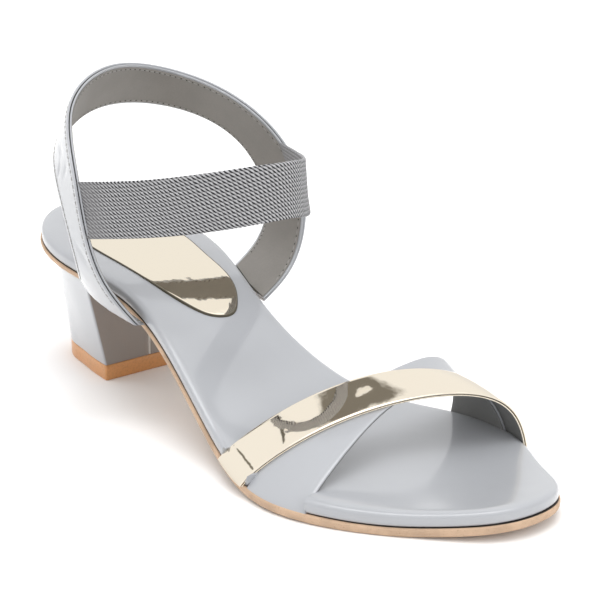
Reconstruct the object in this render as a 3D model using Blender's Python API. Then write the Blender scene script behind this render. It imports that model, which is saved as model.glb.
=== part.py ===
"""Block heel sandal, one shoe, the right one of a pair, standing empty on its sole.

The toe points along +X, the inner (medial) side along +Y, up is +Z and the floor is
Z = 0. Sizes are millimetres and become metres when a mesh is made.
"""
import math
from typing import NamedTuple

import bpy
import numpy as np

MM = 0.001

# Clearance between neighbouring pieces
GAP = 0.3

# Driving sizes of the sole
SOLE_LENGTH = 243.0
BALL_WIDTH = 92.0
HEEL_RISE = 46.6
OUTSOLE_WAIST = 1.8
OUTSOLE_FOREFOOT = 3.3
OUTSOLE_THIN_TO = 60.0
OUTSOLE_THICK_FROM = 140.0
FOOTBED_THICKNESS = 4.8

# Sole length at which the places of the vamp straps were measured, and what they stretch by
DRAWN_LENGTH = 243.0
STRETCH = SOLE_LENGTH / DRAWN_LENGTH

# Heel block and its top lift
LIFT_HEIGHT = 5.95
HEEL_LENGTH = 42.0
HEEL_WIDTH = 39.0
HEEL_RINGS = 6
HEEL_CORNER = 0.9
LIFT_CHAMFER = 0.4

# Foil insert on the heel seat
SOCK_LENGTH = 93.0
SOCK_WIDTH = 35.0
SOCK_BACK = 8.0
SOCK_THICKNESS = 0.5
SOCK_EDGE = 0.2
SOCK_STRAIGHT = 0.6

# Straps
VAMP_STRAP_THICKNESS = 1.5
VAMP_JOIN = 0.08
BAND_THICKNESS = 2.4
BAND_HEIGHT = 113.0
BAND_FLARE = 3.0
BAND_FLARE_SPAN = 0.13
ELASTIC_THICKNESS = 1.4
ELASTIC_ENTRY = 1.2
LEG_OVERRUN = 3.0

# Numbers of stations round and along the pieces
SOLE_STATIONS = 60
HEEL_STATIONS = 14
ARCH_STATIONS = 38
BAND_STATIONS = 58
ELASTIC_STATIONS = 34
FINE_STATIONS = 400
DENSE = 1600
# Share by which the stations of an outline crowd towards its two ends
END_CROWDING = 0.55

# Largest angle between two faces that still shade as one surface, in degrees
STRAP_SHADING = 50.0
SOLE_SHADING = 35.0
HEEL_SHADING = 38.0

# Small steps used to take directions on the curved forms
STEP_ALONG = 0.5
STEP_ROUND = 0.015
STEP_RUN = 0.004
END_ANGLE = 0.02
LINE_ROUNDS = 12

# Reach of the block that trims the strap ends above the outsole
TRIM_MARGIN = 15.0
TRIM_DEPTH = 40.0

# Part of the band searched for a height, between its middle and each base
BAND_MIDDLE = 0.50
BAND_BASE = 0.02
BAND_SEARCH = 400

# Edge of the sole seen from above: share of SOLE_LENGTH, share of BALL_WIDTH
SOLE_EDGE = (
    (0.0053, 0.0000),
    (0.0453, 0.2065),
    (0.1481, 0.3163),
    (0.2955, 0.2609),
    (0.4387, 0.1728),
    (0.5885, 0.3087),
    (0.6988, 0.4620),
    (0.8169, 0.4783),
    (0.9111, 0.3533),
    (0.9959, 0.1848),
    (0.9971, -0.0500),
    (0.9325, -0.2348),
    (0.8407, -0.4054),
    (0.7082, -0.5228),
    (0.5774, -0.4522),
    (0.4317, -0.3630),
    (0.2881, -0.2967),
    (0.1494, -0.2913),
    (0.0490, -0.1946),
)

# Underside of the sole from the side: share of SOLE_LENGTH, share of HEEL_RISE
SOLE_RISE = (
    (0.000, 1.0000),
    (0.144, 0.9107),
    (0.288, 0.8251),
    (0.432, 0.5605),
    (0.576, 0.1157),
    (0.679, 0.0163),
    (0.782, 0.0017),
    (0.885, -0.0015),
    (0.988, 0.0612),
)

# Rounded side of the outsole: inset in mm, share of its thickness
OUTSOLE_SIDE = ((0.90, 0.00), (0.35, 0.16), (0.05, 0.45), (0.00, 1.00))

# Rolled side of the footbed: inset in mm, share of its thickness
FOOTBED_SIDE = (
    (1.30, 0.000),
    (0.70, 0.080),
    (0.50, 0.200),
    (0.50, 0.620),
    (0.85, 0.790),
    (1.70, 0.920),
    (3.10, 0.985),
    (5.00, 1.000),
)

# Foil insert seen from above: share of SOCK_LENGTH from its back, share of SOCK_WIDTH
SOCK_EDGE_LINE = (
    (0.000, 0.020),
    (0.056, -0.214),
    (0.186, -0.380),
    (0.376, -0.451),
    (0.560, -0.457),
    (0.699, -0.451),
    (0.842, -0.417),
    (0.915, -0.357),
    (0.963, -0.280),
    (0.997, -0.129),
    (0.999, 0.000),
    (0.956, 0.160),
    (0.872, 0.309),
    (0.781, 0.383),
    (0.651, 0.443),
    (0.476, 0.540),
    (0.301, 0.543),
    (0.129, 0.414),
    (0.032, 0.229),
)

# Foot of the heel from above, from the front corner round to the back: share of
# HEEL_LENGTH, share of HEEL_WIDTH, on the outer and on the inner side
HEEL_BACK = 11.4
FOOT_OUTER = ((0.912, -0.472), (0.635, -0.423), (0.430, -0.369), (0.219, -0.305), (0.070, -0.155))
FOOT_BACK = (0.000, 0.080)
FOOT_INNER = ((1.024, 0.487), (0.748, 0.515), (0.455, 0.505), (0.183, 0.456), (0.040, 0.300))
# Seat of the heel under the sole, in the same shares
SEAT_OUTER = ((0.950, -0.700), (0.680, -0.645), (0.348, -0.536), (0.070, -0.340), (-0.075, -0.110))
SEAT_BACK = (-0.105, 0.100)
SEAT_INNER = ((1.040, 0.690), (0.730, 0.700), (0.395, 0.612), (0.100, 0.420), (-0.060, 0.270))

# Instep form that the two vamp straps lie on, taken at INSTEP_AT and sloping from there
INSTEP_AT = 175.0
INSTEP_SPAN = 30.0
INSTEP_RISE = (29.09, -5.20, -2.11)
INSTEP_LEAN = (16.05, -1.43)
INSTEP_POWER = (1.60, -0.11)
INSTEP_SQUARE = 0.984
INSTEP_SKEW = 4.38
INSTEP_OUTSET = 1.1

# Foil strap: back and front edge where it meets the sole, outer side then inner side
GOLD_BACK = (143.0, 190.0)
GOLD_FRONT = (159.3, 204.3)

# Patent strap below it: angle round the instep in degrees, back edge, front edge, and how
# far its back edge stands off the instep form
GREY_EDGES = (
    (0.0, 161.0, 189.0, 0.0),
    (20.0, 161.5, 187.3, 0.0),
    (45.0, 163.5, 184.8, 0.0),
    (70.0, 167.5, 182.2, 0.0),
    (94.0, 170.4, 182.8, 0.9),
    (114.0, 170.6, 184.6, 3.0),
    (132.0, 170.4, 186.4, 4.4),
    (150.0, 169.4, 187.8, 2.8),
    (180.0, 166.0, 189.0, 0.0),
)

# Strap section: share across, share of the thickness
STRAP_SECTION = (
    (0.000, 0.50),
    (0.012, 0.82),
    (0.040, 1.00),
    (0.270, 1.00),
    (0.500, 1.00),
    (0.730, 1.00),
    (0.960, 1.00),
    (0.988, 0.82),
    (1.000, 0.50),
    (0.985, 0.15),
    (0.955, 0.00),
    (0.500, 0.00),
    (0.045, 0.00),
    (0.015, 0.15),
)

# Sling band, outer base over the back to the inner base, a row per section: lower edge
# then upper edge, as shares of SOLE_LENGTH, BALL_WIDTH and BAND_HEIGHT
BAND_ROWS = (
    (0.2025, -0.297, 0.374, 0.3600, -0.322, 0.300),
    (0.2683, -0.440, 0.493, 0.3370, -0.474, 0.505),
    (0.2391, -0.443, 0.681, 0.2988, -0.489, 0.788),
    (0.1667, -0.318, 0.798, 0.2037, -0.315, 0.948),
    (0.1111, 0.004, 0.852, 0.1436, 0.015, 1.002),
    (0.1132, 0.289, 0.816, 0.1436, 0.276, 0.951),
    (0.2305, 0.458, 0.717, 0.2860, 0.417, 0.848),
    (0.2922, 0.460, 0.515, 0.3733, 0.470, 0.573),
    (0.3070, 0.380, 0.440, 0.3830, 0.400, 0.408),
    (0.3144, 0.242, 0.375, 0.4008, 0.192, 0.320),
)

# Elastic over the instep between its ends: lower edge then upper edge, same shares
ELASTIC_ROWS = (
    (0.4443, -0.367, 0.666, 0.4285, -0.385, 0.842),
    (0.5469, -0.181, 0.723, 0.5386, -0.184, 0.900),
    (0.5500, -0.026, 0.714, 0.5430, -0.003, 0.887),
    (0.5110, 0.155, 0.665, 0.4952, 0.182, 0.840),
)
# Heights at which its edges meet the band's front edge, as shares of BAND_HEIGHT: lower, upper
ELASTIC_OUTER_END = (0.620, 0.790)
ELASTIC_INNER_END = (0.595, 0.765)


class Finish(NamedTuple):
    """Base colour, roughness, metallic and clear coat of one material."""

    colour: tuple
    roughness: float
    metallic: float = 0.0
    coat: float = 0.0


GREY_PATENT = Finish((0.50, 0.52, 0.55), 0.18, coat=1.0)
GOLD_FOIL = Finish((0.86, 0.76, 0.56), 0.12, metallic=1.0)
SOLE_SHEET = Finish((0.52, 0.34, 0.21), 0.75)
LIFT_RUBBER = Finish((0.60, 0.28, 0.10), 0.55)
WOVEN_ELASTIC = Finish((0.33, 0.33, 0.35), 0.85)


class Spline:
    """Cubic spline through rows of values, with natural ends or closed into a loop."""

    def __init__(self, knots, values, closed=False):
        self.closed = closed
        k = np.asarray(knots, float)
        v = np.asarray(values, float)
        v = v[:, None] if v.ndim == 1 else v
        n = len(k)
        h = np.diff(k)
        a = np.zeros((n, n))
        b = np.zeros((n, v.shape[1]))
        for i in range(1, n - 1):
            a[i, i - 1: i + 2] = (h[i - 1], 2 * (h[i - 1] + h[i]), h[i])
            b[i] = 6 * ((v[i + 1] - v[i]) / h[i] - (v[i] - v[i - 1]) / h[i - 1])
        if closed:
            a[0, [0, 1, n - 2]] = (2 * (h[-1] + h[0]), h[0], h[-1])
            b[0] = 6 * ((v[1] - v[0]) / h[0] - (v[-1] - v[-2]) / h[-1])
            a[-1, 0], a[-1, -1] = 1.0, -1.0
        else:
            a[0, 0] = a[-1, -1] = 1.0
        self.knots, self.values, self.bends, self.steps = k, v, np.linalg.solve(a, b), h

    def __call__(self, at):
        at = np.atleast_1d(np.asarray(at, float))
        i = np.clip(np.searchsorted(self.knots, at, side="right") - 1, 0, len(self.steps) - 1)
        h = self.steps[i][:, None]
        p = (self.knots[i + 1] - at)[:, None] / h
        q = 1 - p
        curve = ((p ** 3 - p) * self.bends[i] + (q ** 3 - q) * self.bends[i + 1]) * h * h / 6
        return p * self.values[i] + q * self.values[i + 1] + curve


def through(points, closed=False):
    """Spline through points, run by the distance between them."""
    p = np.asarray(points, float)
    p = np.vstack([p, p[:1]]) if closed else p
    run = np.r_[0, np.cumsum(np.linalg.norm(np.diff(p, axis=0), axis=1))]
    return Spline(run / run[-1], p, closed)


RISE = Spline([row[0] * SOLE_LENGTH for row in SOLE_RISE], [row[1] * HEEL_RISE for row in SOLE_RISE])


def underside(x):
    """Height of the outsole's underside before its flat spot is cut."""
    return RISE(x)[:, 0]


def outsole_thickness(x):
    t = np.clip((x - OUTSOLE_THIN_TO) / (OUTSOLE_THICK_FROM - OUTSOLE_THIN_TO), 0, 1)
    return OUTSOLE_WAIST + (OUTSOLE_FOREFOOT - OUTSOLE_WAIST) * t * t * (3 - 2 * t)


def outsole_top(x):
    return underside(x) + outsole_thickness(x)


def footbed_top(x):
    return outsole_top(x) + GAP + FOOTBED_THICKNESS


class Outline:
    """Closed line seen from above, split into an outer and an inner side at its two ends."""

    def __init__(self, points, stations):
        line = through(points, closed=True)
        at = np.arange(DENSE) / DENSE
        p = line(at)
        step = 0.5 / DENSE
        run = line((at + step) % 1.0) - line((at - step) % 1.0)
        out = np.c_[run[:, 1], -run[:, 0]] / np.linalg.norm(run, axis=1)[:, None]
        if np.sum(out * (p - p.mean(0))) < 0:
            out = -out
        back, front = int(np.argmin(p[:, 0])), int(np.argmax(p[:, 0]))
        share = (1 - np.cos(np.pi * np.arange(stations + 1) / stations)) / 2
        even = np.arange(stations + 1) / stations
        x = p[back, 0] + (p[front, 0] - p[back, 0]) * (END_CROWDING * share + (1 - END_CROWDING) * even)
        sides = []
        for way in (1, -1):
            count = (front - back) * way % DENSE
            order = (back + way * np.arange(count + 1)) % DENSE
            q, n = p[order], out[order]
            sides.append([np.c_[x, np.interp(x, q[:, 0], q[:, 1])],
                          np.c_[np.interp(x, q[:, 0], n[:, 0]), np.interp(x, q[:, 0], n[:, 1])]])
        sides.sort(key=lambda s: s[0][stations // 2, 1])
        (self.outer, self.outer_out), (self.inner, self.inner_out) = sides
        for normal in (self.outer_out, self.inner_out):
            normal[0], normal[-1] = (-1, 0), (1, 0)
        self.inner[0] = self.outer[0] = p[back]
        self.inner[-1] = self.outer[-1] = p[front]
        self.stations = stations

    def ring(self, inset):
        """Outer side from back to front, then the inner side back again."""
        a = self.outer - self.outer_out * inset
        b = self.inner - self.inner_out * inset
        return np.vstack([a, b[-2:0:-1]])


def sole_points():
    return [(a * SOLE_LENGTH, b * BALL_WIDTH) for a, b in SOLE_EDGE]


SOLE = Outline(sole_points(), SOLE_STATIONS)
SOLE_FINE = Outline(sole_points(), FINE_STATIONS)


def edge_y(x, inner):
    side = SOLE_FINE.inner if inner else SOLE_FINE.outer
    return np.interp(x, side[:, 0], side[:, 1])


def make(name, verts, faces, finish, angle):
    """Mesh object in metres with its own material."""
    mesh = bpy.data.meshes.new(name)
    mesh.from_pydata([tuple(float(c) * MM for c in v) for v in verts], [], faces)
    mesh.validate()
    obj = bpy.data.objects.new(name, mesh)
    bpy.context.scene.collection.objects.link(obj)
    material = bpy.data.materials.new(name + "_material")
    material.use_nodes = True
    shader = material.node_tree.nodes["Principled BSDF"]
    shader.inputs["Base Color"].default_value = (*finish.colour, 1.0)
    shader.inputs["Roughness"].default_value = finish.roughness
    shader.inputs["Metallic"].default_value = finish.metallic
    shader.inputs["Coat Weight"].default_value = finish.coat
    mesh.materials.append(material)
    orient(obj)
    smooth(obj, angle)
    return obj


def activate(obj):
    for other in bpy.context.scene.objects:
        other.select_set(False)
    obj.select_set(True)
    bpy.context.view_layer.objects.active = obj


def orient(obj):
    """Turn every face of a closed mesh outwards."""
    activate(obj)
    bpy.ops.object.mode_set(mode="EDIT")
    bpy.ops.mesh.select_all(action="SELECT")
    bpy.ops.mesh.normals_make_consistent(inside=False)
    bpy.ops.object.mode_set(mode="OBJECT")


def smooth(obj, angle):
    activate(obj)
    bpy.ops.object.shade_smooth()
    obj.data.set_sharp_from_angle(angle=math.radians(angle))


def combine(target, other, operation):
    """Apply one exact Boolean to the target and remove the other object."""
    activate(target)
    step = target.modifiers.new(operation.lower(), "BOOLEAN")
    step.operation = operation
    step.solver = "EXACT"
    step.object = other
    bpy.ops.object.modifier_apply(modifier=step.name)
    bpy.data.objects.remove(other, do_unlink=True)


def slab(outline, side, low, thickness):
    """Closed plate between rings of one outline.

    low(x) is the height of its underside; side rows are inset and share of the thickness.
    """
    count = 2 * outline.stations
    verts, faces = [], []
    for inset, share in side:
        for x, y in outline.ring(inset):
            verts.append((x, y, low(x, share, thickness)))
    for k in range(len(side) - 1):
        for i in range(count):
            j = (i + 1) % count
            faces.append((k * count + i, k * count + j, (k + 1) * count + j, (k + 1) * count + i))
    for base in (0, (len(side) - 1) * count):
        faces.extend(strips(base, outline.stations, count))
    return verts, faces


def strips(base, stations, count):
    """Faces across a ring from its outer side to its inner side."""
    rows = []
    for i in range(stations):
        a, b = base + i, base + i + 1
        c, d = base + (count - i - 1) % count, base + (count - i) % count
        if i == 0:
            rows.append((a, b, c))
        elif i == stations - 1:
            rows.append((a, b, d))
        else:
            rows.append((a, b, c, d))
    return rows


def tube(rings, name, finish, angle=STRAP_SHADING):
    """Closed solid through equal rings of points."""
    n = len(rings[0])
    verts = [p for ring in rings for p in ring]
    faces = [tuple(range(n))]
    for k in range(len(rings) - 1):
        for i in range(n):
            j = (i + 1) % n
            faces.append((k * n + i, k * n + j, (k + 1) * n + j, (k + 1) * n + i))
    faces.append(tuple(range((len(rings) - 1) * n, len(rings) * n)))
    return make(name, verts, faces, finish, angle)


# Sole pieces

def outsole_height(x, share, _):
    lift = share * outsole_thickness(x)
    return max(float((underside(x) + lift)[0]), share * OUTSOLE_WAIST)


def footbed_height(x, share, thickness):
    return float(outsole_top(x)[0]) + GAP + share * thickness


def sock_height(x, share, thickness):
    return float(footbed_top(x)[0]) + GAP + share * thickness


def build_outsole():
    verts, faces = slab(SOLE, OUTSOLE_SIDE, outsole_height, None)
    return make("outsole", verts, faces, SOLE_SHEET, SOLE_SHADING)


def build_footbed():
    verts, faces = slab(SOLE, FOOTBED_SIDE, footbed_height, FOOTBED_THICKNESS)
    return make("footbed", verts, faces, GREY_PATENT, STRAP_SHADING)


def build_sock():
    points = [(SOCK_BACK + a * SOCK_LENGTH, b * SOCK_WIDTH) for a, b in SOCK_EDGE_LINE]
    side = ((0.0, 0.0), (0.0, SOCK_STRAIGHT), (SOCK_EDGE, 1.0))
    verts, faces = slab(Outline(points, SOLE_STATIONS // 2), side, sock_height, SOCK_THICKNESS)
    return make("heel_sock", verts, faces, GOLD_FOIL, SOLE_SHADING)


# Heel

def heel_side(rows, back):
    points = [(HEEL_BACK + a * HEEL_LENGTH, b * HEEL_WIDTH) for a, b in (*rows, back)]
    return through(points)(np.arange(HEEL_STATIONS + 1) / HEEL_STATIONS)


def heel_plan(outer, back, inner):
    """Outer side from the back to the front corner, then inner side from corner to back."""
    a, b = heel_side(outer, back)[::-1], heel_side(inner, back)
    across = (b[0] - a[-1]) / np.linalg.norm(b[0] - a[-1])
    along_a = (a[-1] - a[-2]) / np.linalg.norm(a[-1] - a[-2])
    along_b = (b[0] - b[1]) / np.linalg.norm(b[0] - b[1])
    front_a, front_b = a[-1] + across * HEEL_CORNER, b[0] - across * HEEL_CORNER
    a[-1] = a[-1] - along_a * HEEL_CORNER
    b[0] = b[0] - along_b * HEEL_CORNER
    return np.vstack([a, front_a, front_b, b[:-1]])


FOOT = heel_plan(FOOT_OUTER, FOOT_BACK, FOOT_INNER)
SEAT = heel_plan(SEAT_OUTER, SEAT_BACK, SEAT_INNER)


def column(rings, name, finish):
    """Closed solid through rings that start at the back point; caps run across."""
    count = len(rings[0])
    half = count // 2
    verts = [p for ring in rings for p in ring]
    faces = []
    for k in range(len(rings) - 1):
        for i in range(count):
            j = (i + 1) % count
            faces.append((k * count + i, k * count + j, (k + 1) * count + j, (k + 1) * count + i))
    for base in (0, (len(rings) - 1) * count):
        faces.append((base, base + 1, base + count - 1))
        for i in range(1, half):
            low, high = base + count - i, base + count - i - 1
            faces.append((base + i, base + i + 1, high, low) if high > base + i + 1 else
                         (base + i, base + i + 1, low))
    return make(name, verts, faces, finish, HEEL_SHADING)


def build_heel():
    low = LIFT_HEIGHT + GAP
    top = underside(SEAT[:, 0]) - GAP
    rings = []
    for k in range(HEEL_RINGS + 1):
        t = k / HEEL_RINGS
        plan = FOOT + (SEAT - FOOT) * t
        rings.append(np.c_[plan, low + (top - low) * t])
    return column(rings, "heel", GREY_PATENT)


def build_lift():
    centre = FOOT.mean(0)
    reach = FOOT - centre
    inward = reach / np.linalg.norm(reach, axis=1)[:, None] * LIFT_CHAMFER
    rings = [np.c_[FOOT - inward, np.zeros(len(FOOT))],
             np.c_[FOOT, np.full(len(FOOT), LIFT_CHAMFER)],
             np.c_[FOOT, np.full(len(FOOT), LIFT_HEIGHT)]]
    return column(rings, "top_lift", LIFT_RUBBER)


# Vamp

def instep(x, angle, sink=0.0):
    """Point on the instep form, sunk below it by a depth along its normal."""
    def raw(x_at, angle_at):
        t = (x_at / STRETCH - INSTEP_AT) / INSTEP_SPAN
        low = edge_y(x_at, False) - INSTEP_OUTSET
        high = edge_y(x_at, True) + INSTEP_OUTSET
        c, s = math.cos(angle_at), max(math.sin(angle_at), 0.0)
        rise = INSTEP_RISE[0] + INSTEP_RISE[1] * t + INSTEP_RISE[2] * t * t
        lean = INSTEP_LEAN[0] + INSTEP_LEAN[1] * t
        power = INSTEP_POWER[0] + INSTEP_POWER[1] * t
        y = (low + high) / 2 - (high - low) / 2 * math.copysign(abs(c) ** INSTEP_SQUARE, c) + lean * s * s
        z = float(outsole_top(x_at)[0]) + rise * s ** power - INSTEP_SKEW * s * s * c
        return np.array([x_at, y, z])
    near = min(max(angle, END_ANGLE), math.pi - END_ANGLE)
    along = raw(x + STEP_ALONG, near) - raw(x - STEP_ALONG, near)
    around = raw(x, near + STEP_ROUND) - raw(x, near - STEP_ROUND)
    normal = np.cross(along, around)
    return raw(x, angle) - normal / np.linalg.norm(normal) * sink


def on_line(angle, ends):
    """X of a strap edge that runs straight across the foot seen from above."""
    ends = [end * STRETCH for end in ends]
    first, last = instep(ends[0], 0.0)[1], instep(ends[1], math.pi)[1]
    x = ends[0] + (ends[1] - ends[0]) * angle / math.pi
    for _ in range(LINE_ROUNDS):
        x = ends[0] + (ends[1] - ends[0]) * (instep(x, angle)[1] - first) / (last - first)
    return x


def arch(edges, top, grow):
    """Rings of one vamp strap; edges(angle) gives its back and front X and a lift."""
    rings = []
    for k in range(ARCH_STATIONS + 1):
        angle = math.pi * k / ARCH_STATIONS
        back, front, lift = edges(angle)
        back, front = back - grow, front + grow
        ring = []
        for across, share in STRAP_SECTION:
            depth = top - grow + (1 - share) * (VAMP_STRAP_THICKNESS + 2 * grow)
            depth -= lift * (1 - across) ** 2
            ring.append(instep(back + across * (front - back), angle, depth))
        rings.append(np.array(ring))
    down = np.array([0, 0, LEG_OVERRUN])
    return [rings[0] - down, *rings, rings[-1] - down]


def gold_edges(angle):
    return on_line(angle, GOLD_BACK), on_line(angle, GOLD_FRONT), 0.0


GREY = Spline([math.radians(row[0]) for row in GREY_EDGES], [row[1:] for row in GREY_EDGES])


def grey_edges(angle):
    back, front, lift = GREY(angle)[0]
    return back * STRETCH, front * STRETCH, lift


def gold_rings(grow=0.0):
    return arch(gold_edges, 0.0, grow)


def grey_rings(grow=0.0):
    return arch(grey_edges, VAMP_STRAP_THICKNESS - VAMP_JOIN, grow)


# Sling band and elastic

def shares(rows, first):
    scale = np.array([SOLE_LENGTH, BALL_WIDTH, BAND_HEIGHT])
    return np.array([np.array(row[first: first + 3]) * scale for row in rows])


def middle_run(low, high):
    p = (low + high) / 2
    run = np.r_[0, np.cumsum(np.linalg.norm(np.diff(p, axis=0), axis=1))]
    return run / run[-1]


class Ribbon:
    """Flat strap between a lower and an upper edge in space."""

    def __init__(self, low, high, thickness, flare=0.0):
        self.flare = flare
        run = middle_run(low, high)
        self.low, self.high = Spline(run, low), Spline(run, high)
        self.thickness = thickness
        self.centre = (low.mean(0) + high.mean(0)) / 2
        self.turned = self.faces_inwards()

    def point(self, at, across, off):
        """Point at a share of the length and width, moved outwards by off."""
        a, b = self.low(at)[0], self.high(at)[0]
        before, after = max(at - STEP_RUN, 0), min(at + STEP_RUN, 1)
        run = (self.low(after) + self.high(after) - self.low(before) - self.high(before))[0]
        normal = np.cross(run, b - a)
        normal /= np.linalg.norm(normal)
        if self.turned:
            normal = -normal
        near = max(0.0, 1 - min(at, 1 - at) / BAND_FLARE_SPAN)
        off += self.flare * near * near * math.sin(math.pi * min(max(across, 0.0), 1.0))
        return a + (b - a) * across + normal * off

    def faces_inwards(self):
        """Whether the cross product at the middle points into the loop."""
        a, b = self.low(0.5)[0], self.high(0.5)[0]
        run = (self.low(0.5 + STEP_RUN) - self.low(0.5 - STEP_RUN))[0]
        normal = np.cross(run, b - a)
        return float(np.dot(normal, (a + b) / 2 - self.centre)) < 0

    def rings(self, stations, grow=0.0):
        rings = []
        for k in range(stations + 1):
            at = k / stations
            width = np.linalg.norm(self.high(at)[0] - self.low(at)[0])
            ring = []
            for across, share in STRAP_SECTION:
                wide = (across - 0.5) * (1 + 2 * grow / width) + 0.5
                ring.append(self.point(at, wide, (share - 0.5) * (self.thickness + 2 * grow)))
            rings.append(np.array(ring))
        return rings


BAND = Ribbon(shares(BAND_ROWS, 0), shares(BAND_ROWS, 3), BAND_THICKNESS, BAND_FLARE)


def band_rings(grow=0.0):
    rings = BAND.rings(BAND_STATIONS, grow)
    down = np.array([0, 0, LEG_OVERRUN])
    return [rings[0] - down, *rings, rings[-1] - down]


def band_at(height, inner):
    """Share of the band's length where its upper edge passes a height."""
    base = 1 - BAND_BASE if inner else BAND_BASE
    at = np.linspace(BAND_MIDDLE, base, BAND_SEARCH)
    z = BAND.high(at)[:, 2]
    return float(at[int(np.argmin(np.abs(z - height)))])


def elastic_end(ends, inner):
    """Lower and upper corner of an end, just inside the band's front edge."""
    corners = []
    for share in ends:
        at = band_at(share * BAND_HEIGHT, inner)
        width = np.linalg.norm(BAND.high(at)[0] - BAND.low(at)[0])
        corners.append(BAND.point(at, 1 - ELASTIC_ENTRY / width, 0.0))
    return corners


def build_elastic():
    rows = [elastic_end(ELASTIC_OUTER_END, False)]
    rows += zip(shares(ELASTIC_ROWS, 0), shares(ELASTIC_ROWS, 3))
    rows += [elastic_end(ELASTIC_INNER_END, True)]
    low, high = np.array([r[0] for r in rows]), np.array([r[1] for r in rows])
    ribbon = Ribbon(low, high, ELASTIC_THICKNESS)
    elastic = tube(ribbon.rings(ELASTIC_STATIONS), "elastic", WOVEN_ELASTIC)
    combine(elastic, tube(band_rings(GAP), "band_room", GREY_PATENT), "DIFFERENCE")
    smooth(elastic, STRAP_SHADING)
    return elastic


def under_footbed():
    """Everything below the top of the outsole plus its clearance."""
    x = np.linspace(-TRIM_MARGIN, SOLE_LENGTH + TRIM_MARGIN, SOLE_STATIONS)
    z = outsole_top(x) + GAP
    ring = [*zip(x, z), (x[-1], -TRIM_DEPTH), (x[0], -TRIM_DEPTH)]
    rings = [[(a, y, b) for a, b in ring] for y in (-BALL_WIDTH, BALL_WIDTH)]
    return tube(rings, "below", SOLE_SHEET)


def build_vamp():
    vamp = tube(grey_rings(), "vamp", GREY_PATENT)
    combine(vamp, tube(gold_rings(), "over", GREY_PATENT), "UNION")
    combine(vamp, under_footbed(), "DIFFERENCE")
    smooth(vamp, STRAP_SHADING)
    return vamp


def build_band():
    band = tube(band_rings(), "slingback_band", GREY_PATENT)
    combine(band, under_footbed(), "DIFFERENCE")
    smooth(band, STRAP_SHADING)
    return band


def notch(footbed):
    """Clear room in the footbed's side for each strap that is tucked under it."""
    for rings in (grey_rings(GAP), gold_rings(GAP), band_rings(GAP)):
        combine(footbed, tube(rings, "room", GREY_PATENT), "DIFFERENCE")
    smooth(footbed, STRAP_SHADING)


def clear_scene():
    for obj in list(bpy.data.objects):
        bpy.data.objects.remove(obj, do_unlink=True)


def settle(objects):
    """Move the middle of the whole shoe over the origin, with the floor at zero."""
    points = np.array([v.co for obj in objects for v in obj.data.vertices])
    low, high = points.min(0), points.max(0)
    shift = -np.array([(low[0] + high[0]) / 2, (low[1] + high[1]) / 2, low[2]])
    for obj in objects:
        for v in obj.data.vertices:
            v.co = [float(a + b) for a, b in zip(v.co, shift)]
        obj.data.update()
    return [round(float(s) / MM, 3) for s in shift]


def build():
    clear_scene()
    footbed = build_footbed()
    pieces = [build_outsole(), footbed, build_sock(), build_heel(), build_lift(),
              build_vamp(), build_band(), build_elastic()]
    notch(footbed)
    print("moved by", settle(pieces))


build()
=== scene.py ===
"""Looks of a block heel sandal, one shoe, the right one of a pair.

Shapes are worked out in millimetres from the heel end of the sole on its centre
line: X runs to the toe, Y to the inner side of the foot and Z up from the floor.
"""

import logging
import math
from dataclasses import dataclass
from enum import Enum
from functools import cached_property
from typing import Callable, Union

import bmesh
import bpy
import numpy as np
from mathutils import Matrix, Vector
from mathutils.bvhtree import BVHTree


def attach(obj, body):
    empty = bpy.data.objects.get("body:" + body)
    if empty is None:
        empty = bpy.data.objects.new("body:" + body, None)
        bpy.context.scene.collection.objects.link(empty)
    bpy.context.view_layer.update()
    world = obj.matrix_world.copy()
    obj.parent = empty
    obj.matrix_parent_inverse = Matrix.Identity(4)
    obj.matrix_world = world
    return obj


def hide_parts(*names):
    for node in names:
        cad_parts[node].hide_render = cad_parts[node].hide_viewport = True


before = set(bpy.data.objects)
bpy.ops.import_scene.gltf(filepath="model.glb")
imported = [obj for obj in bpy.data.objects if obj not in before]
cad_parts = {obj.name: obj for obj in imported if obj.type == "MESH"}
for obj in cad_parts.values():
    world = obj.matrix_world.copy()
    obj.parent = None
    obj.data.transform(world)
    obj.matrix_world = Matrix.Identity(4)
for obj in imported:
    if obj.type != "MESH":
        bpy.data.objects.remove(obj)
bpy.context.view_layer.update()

MM = 0.001
BODY = "root"
RUN_MAP = "run"

# Heel end of the sole on its centre line, in the row frame
SOLE_ORIGIN = np.array([-122.88, 0.842, 0.0])

# Contact clearance between pieces that touch
TOUCH = 0.03

# Inset that a plate's run adds away from its edge
DEEP = 6.0

log = logging.getLogger("sandal")


# Curves and outlines

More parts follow.
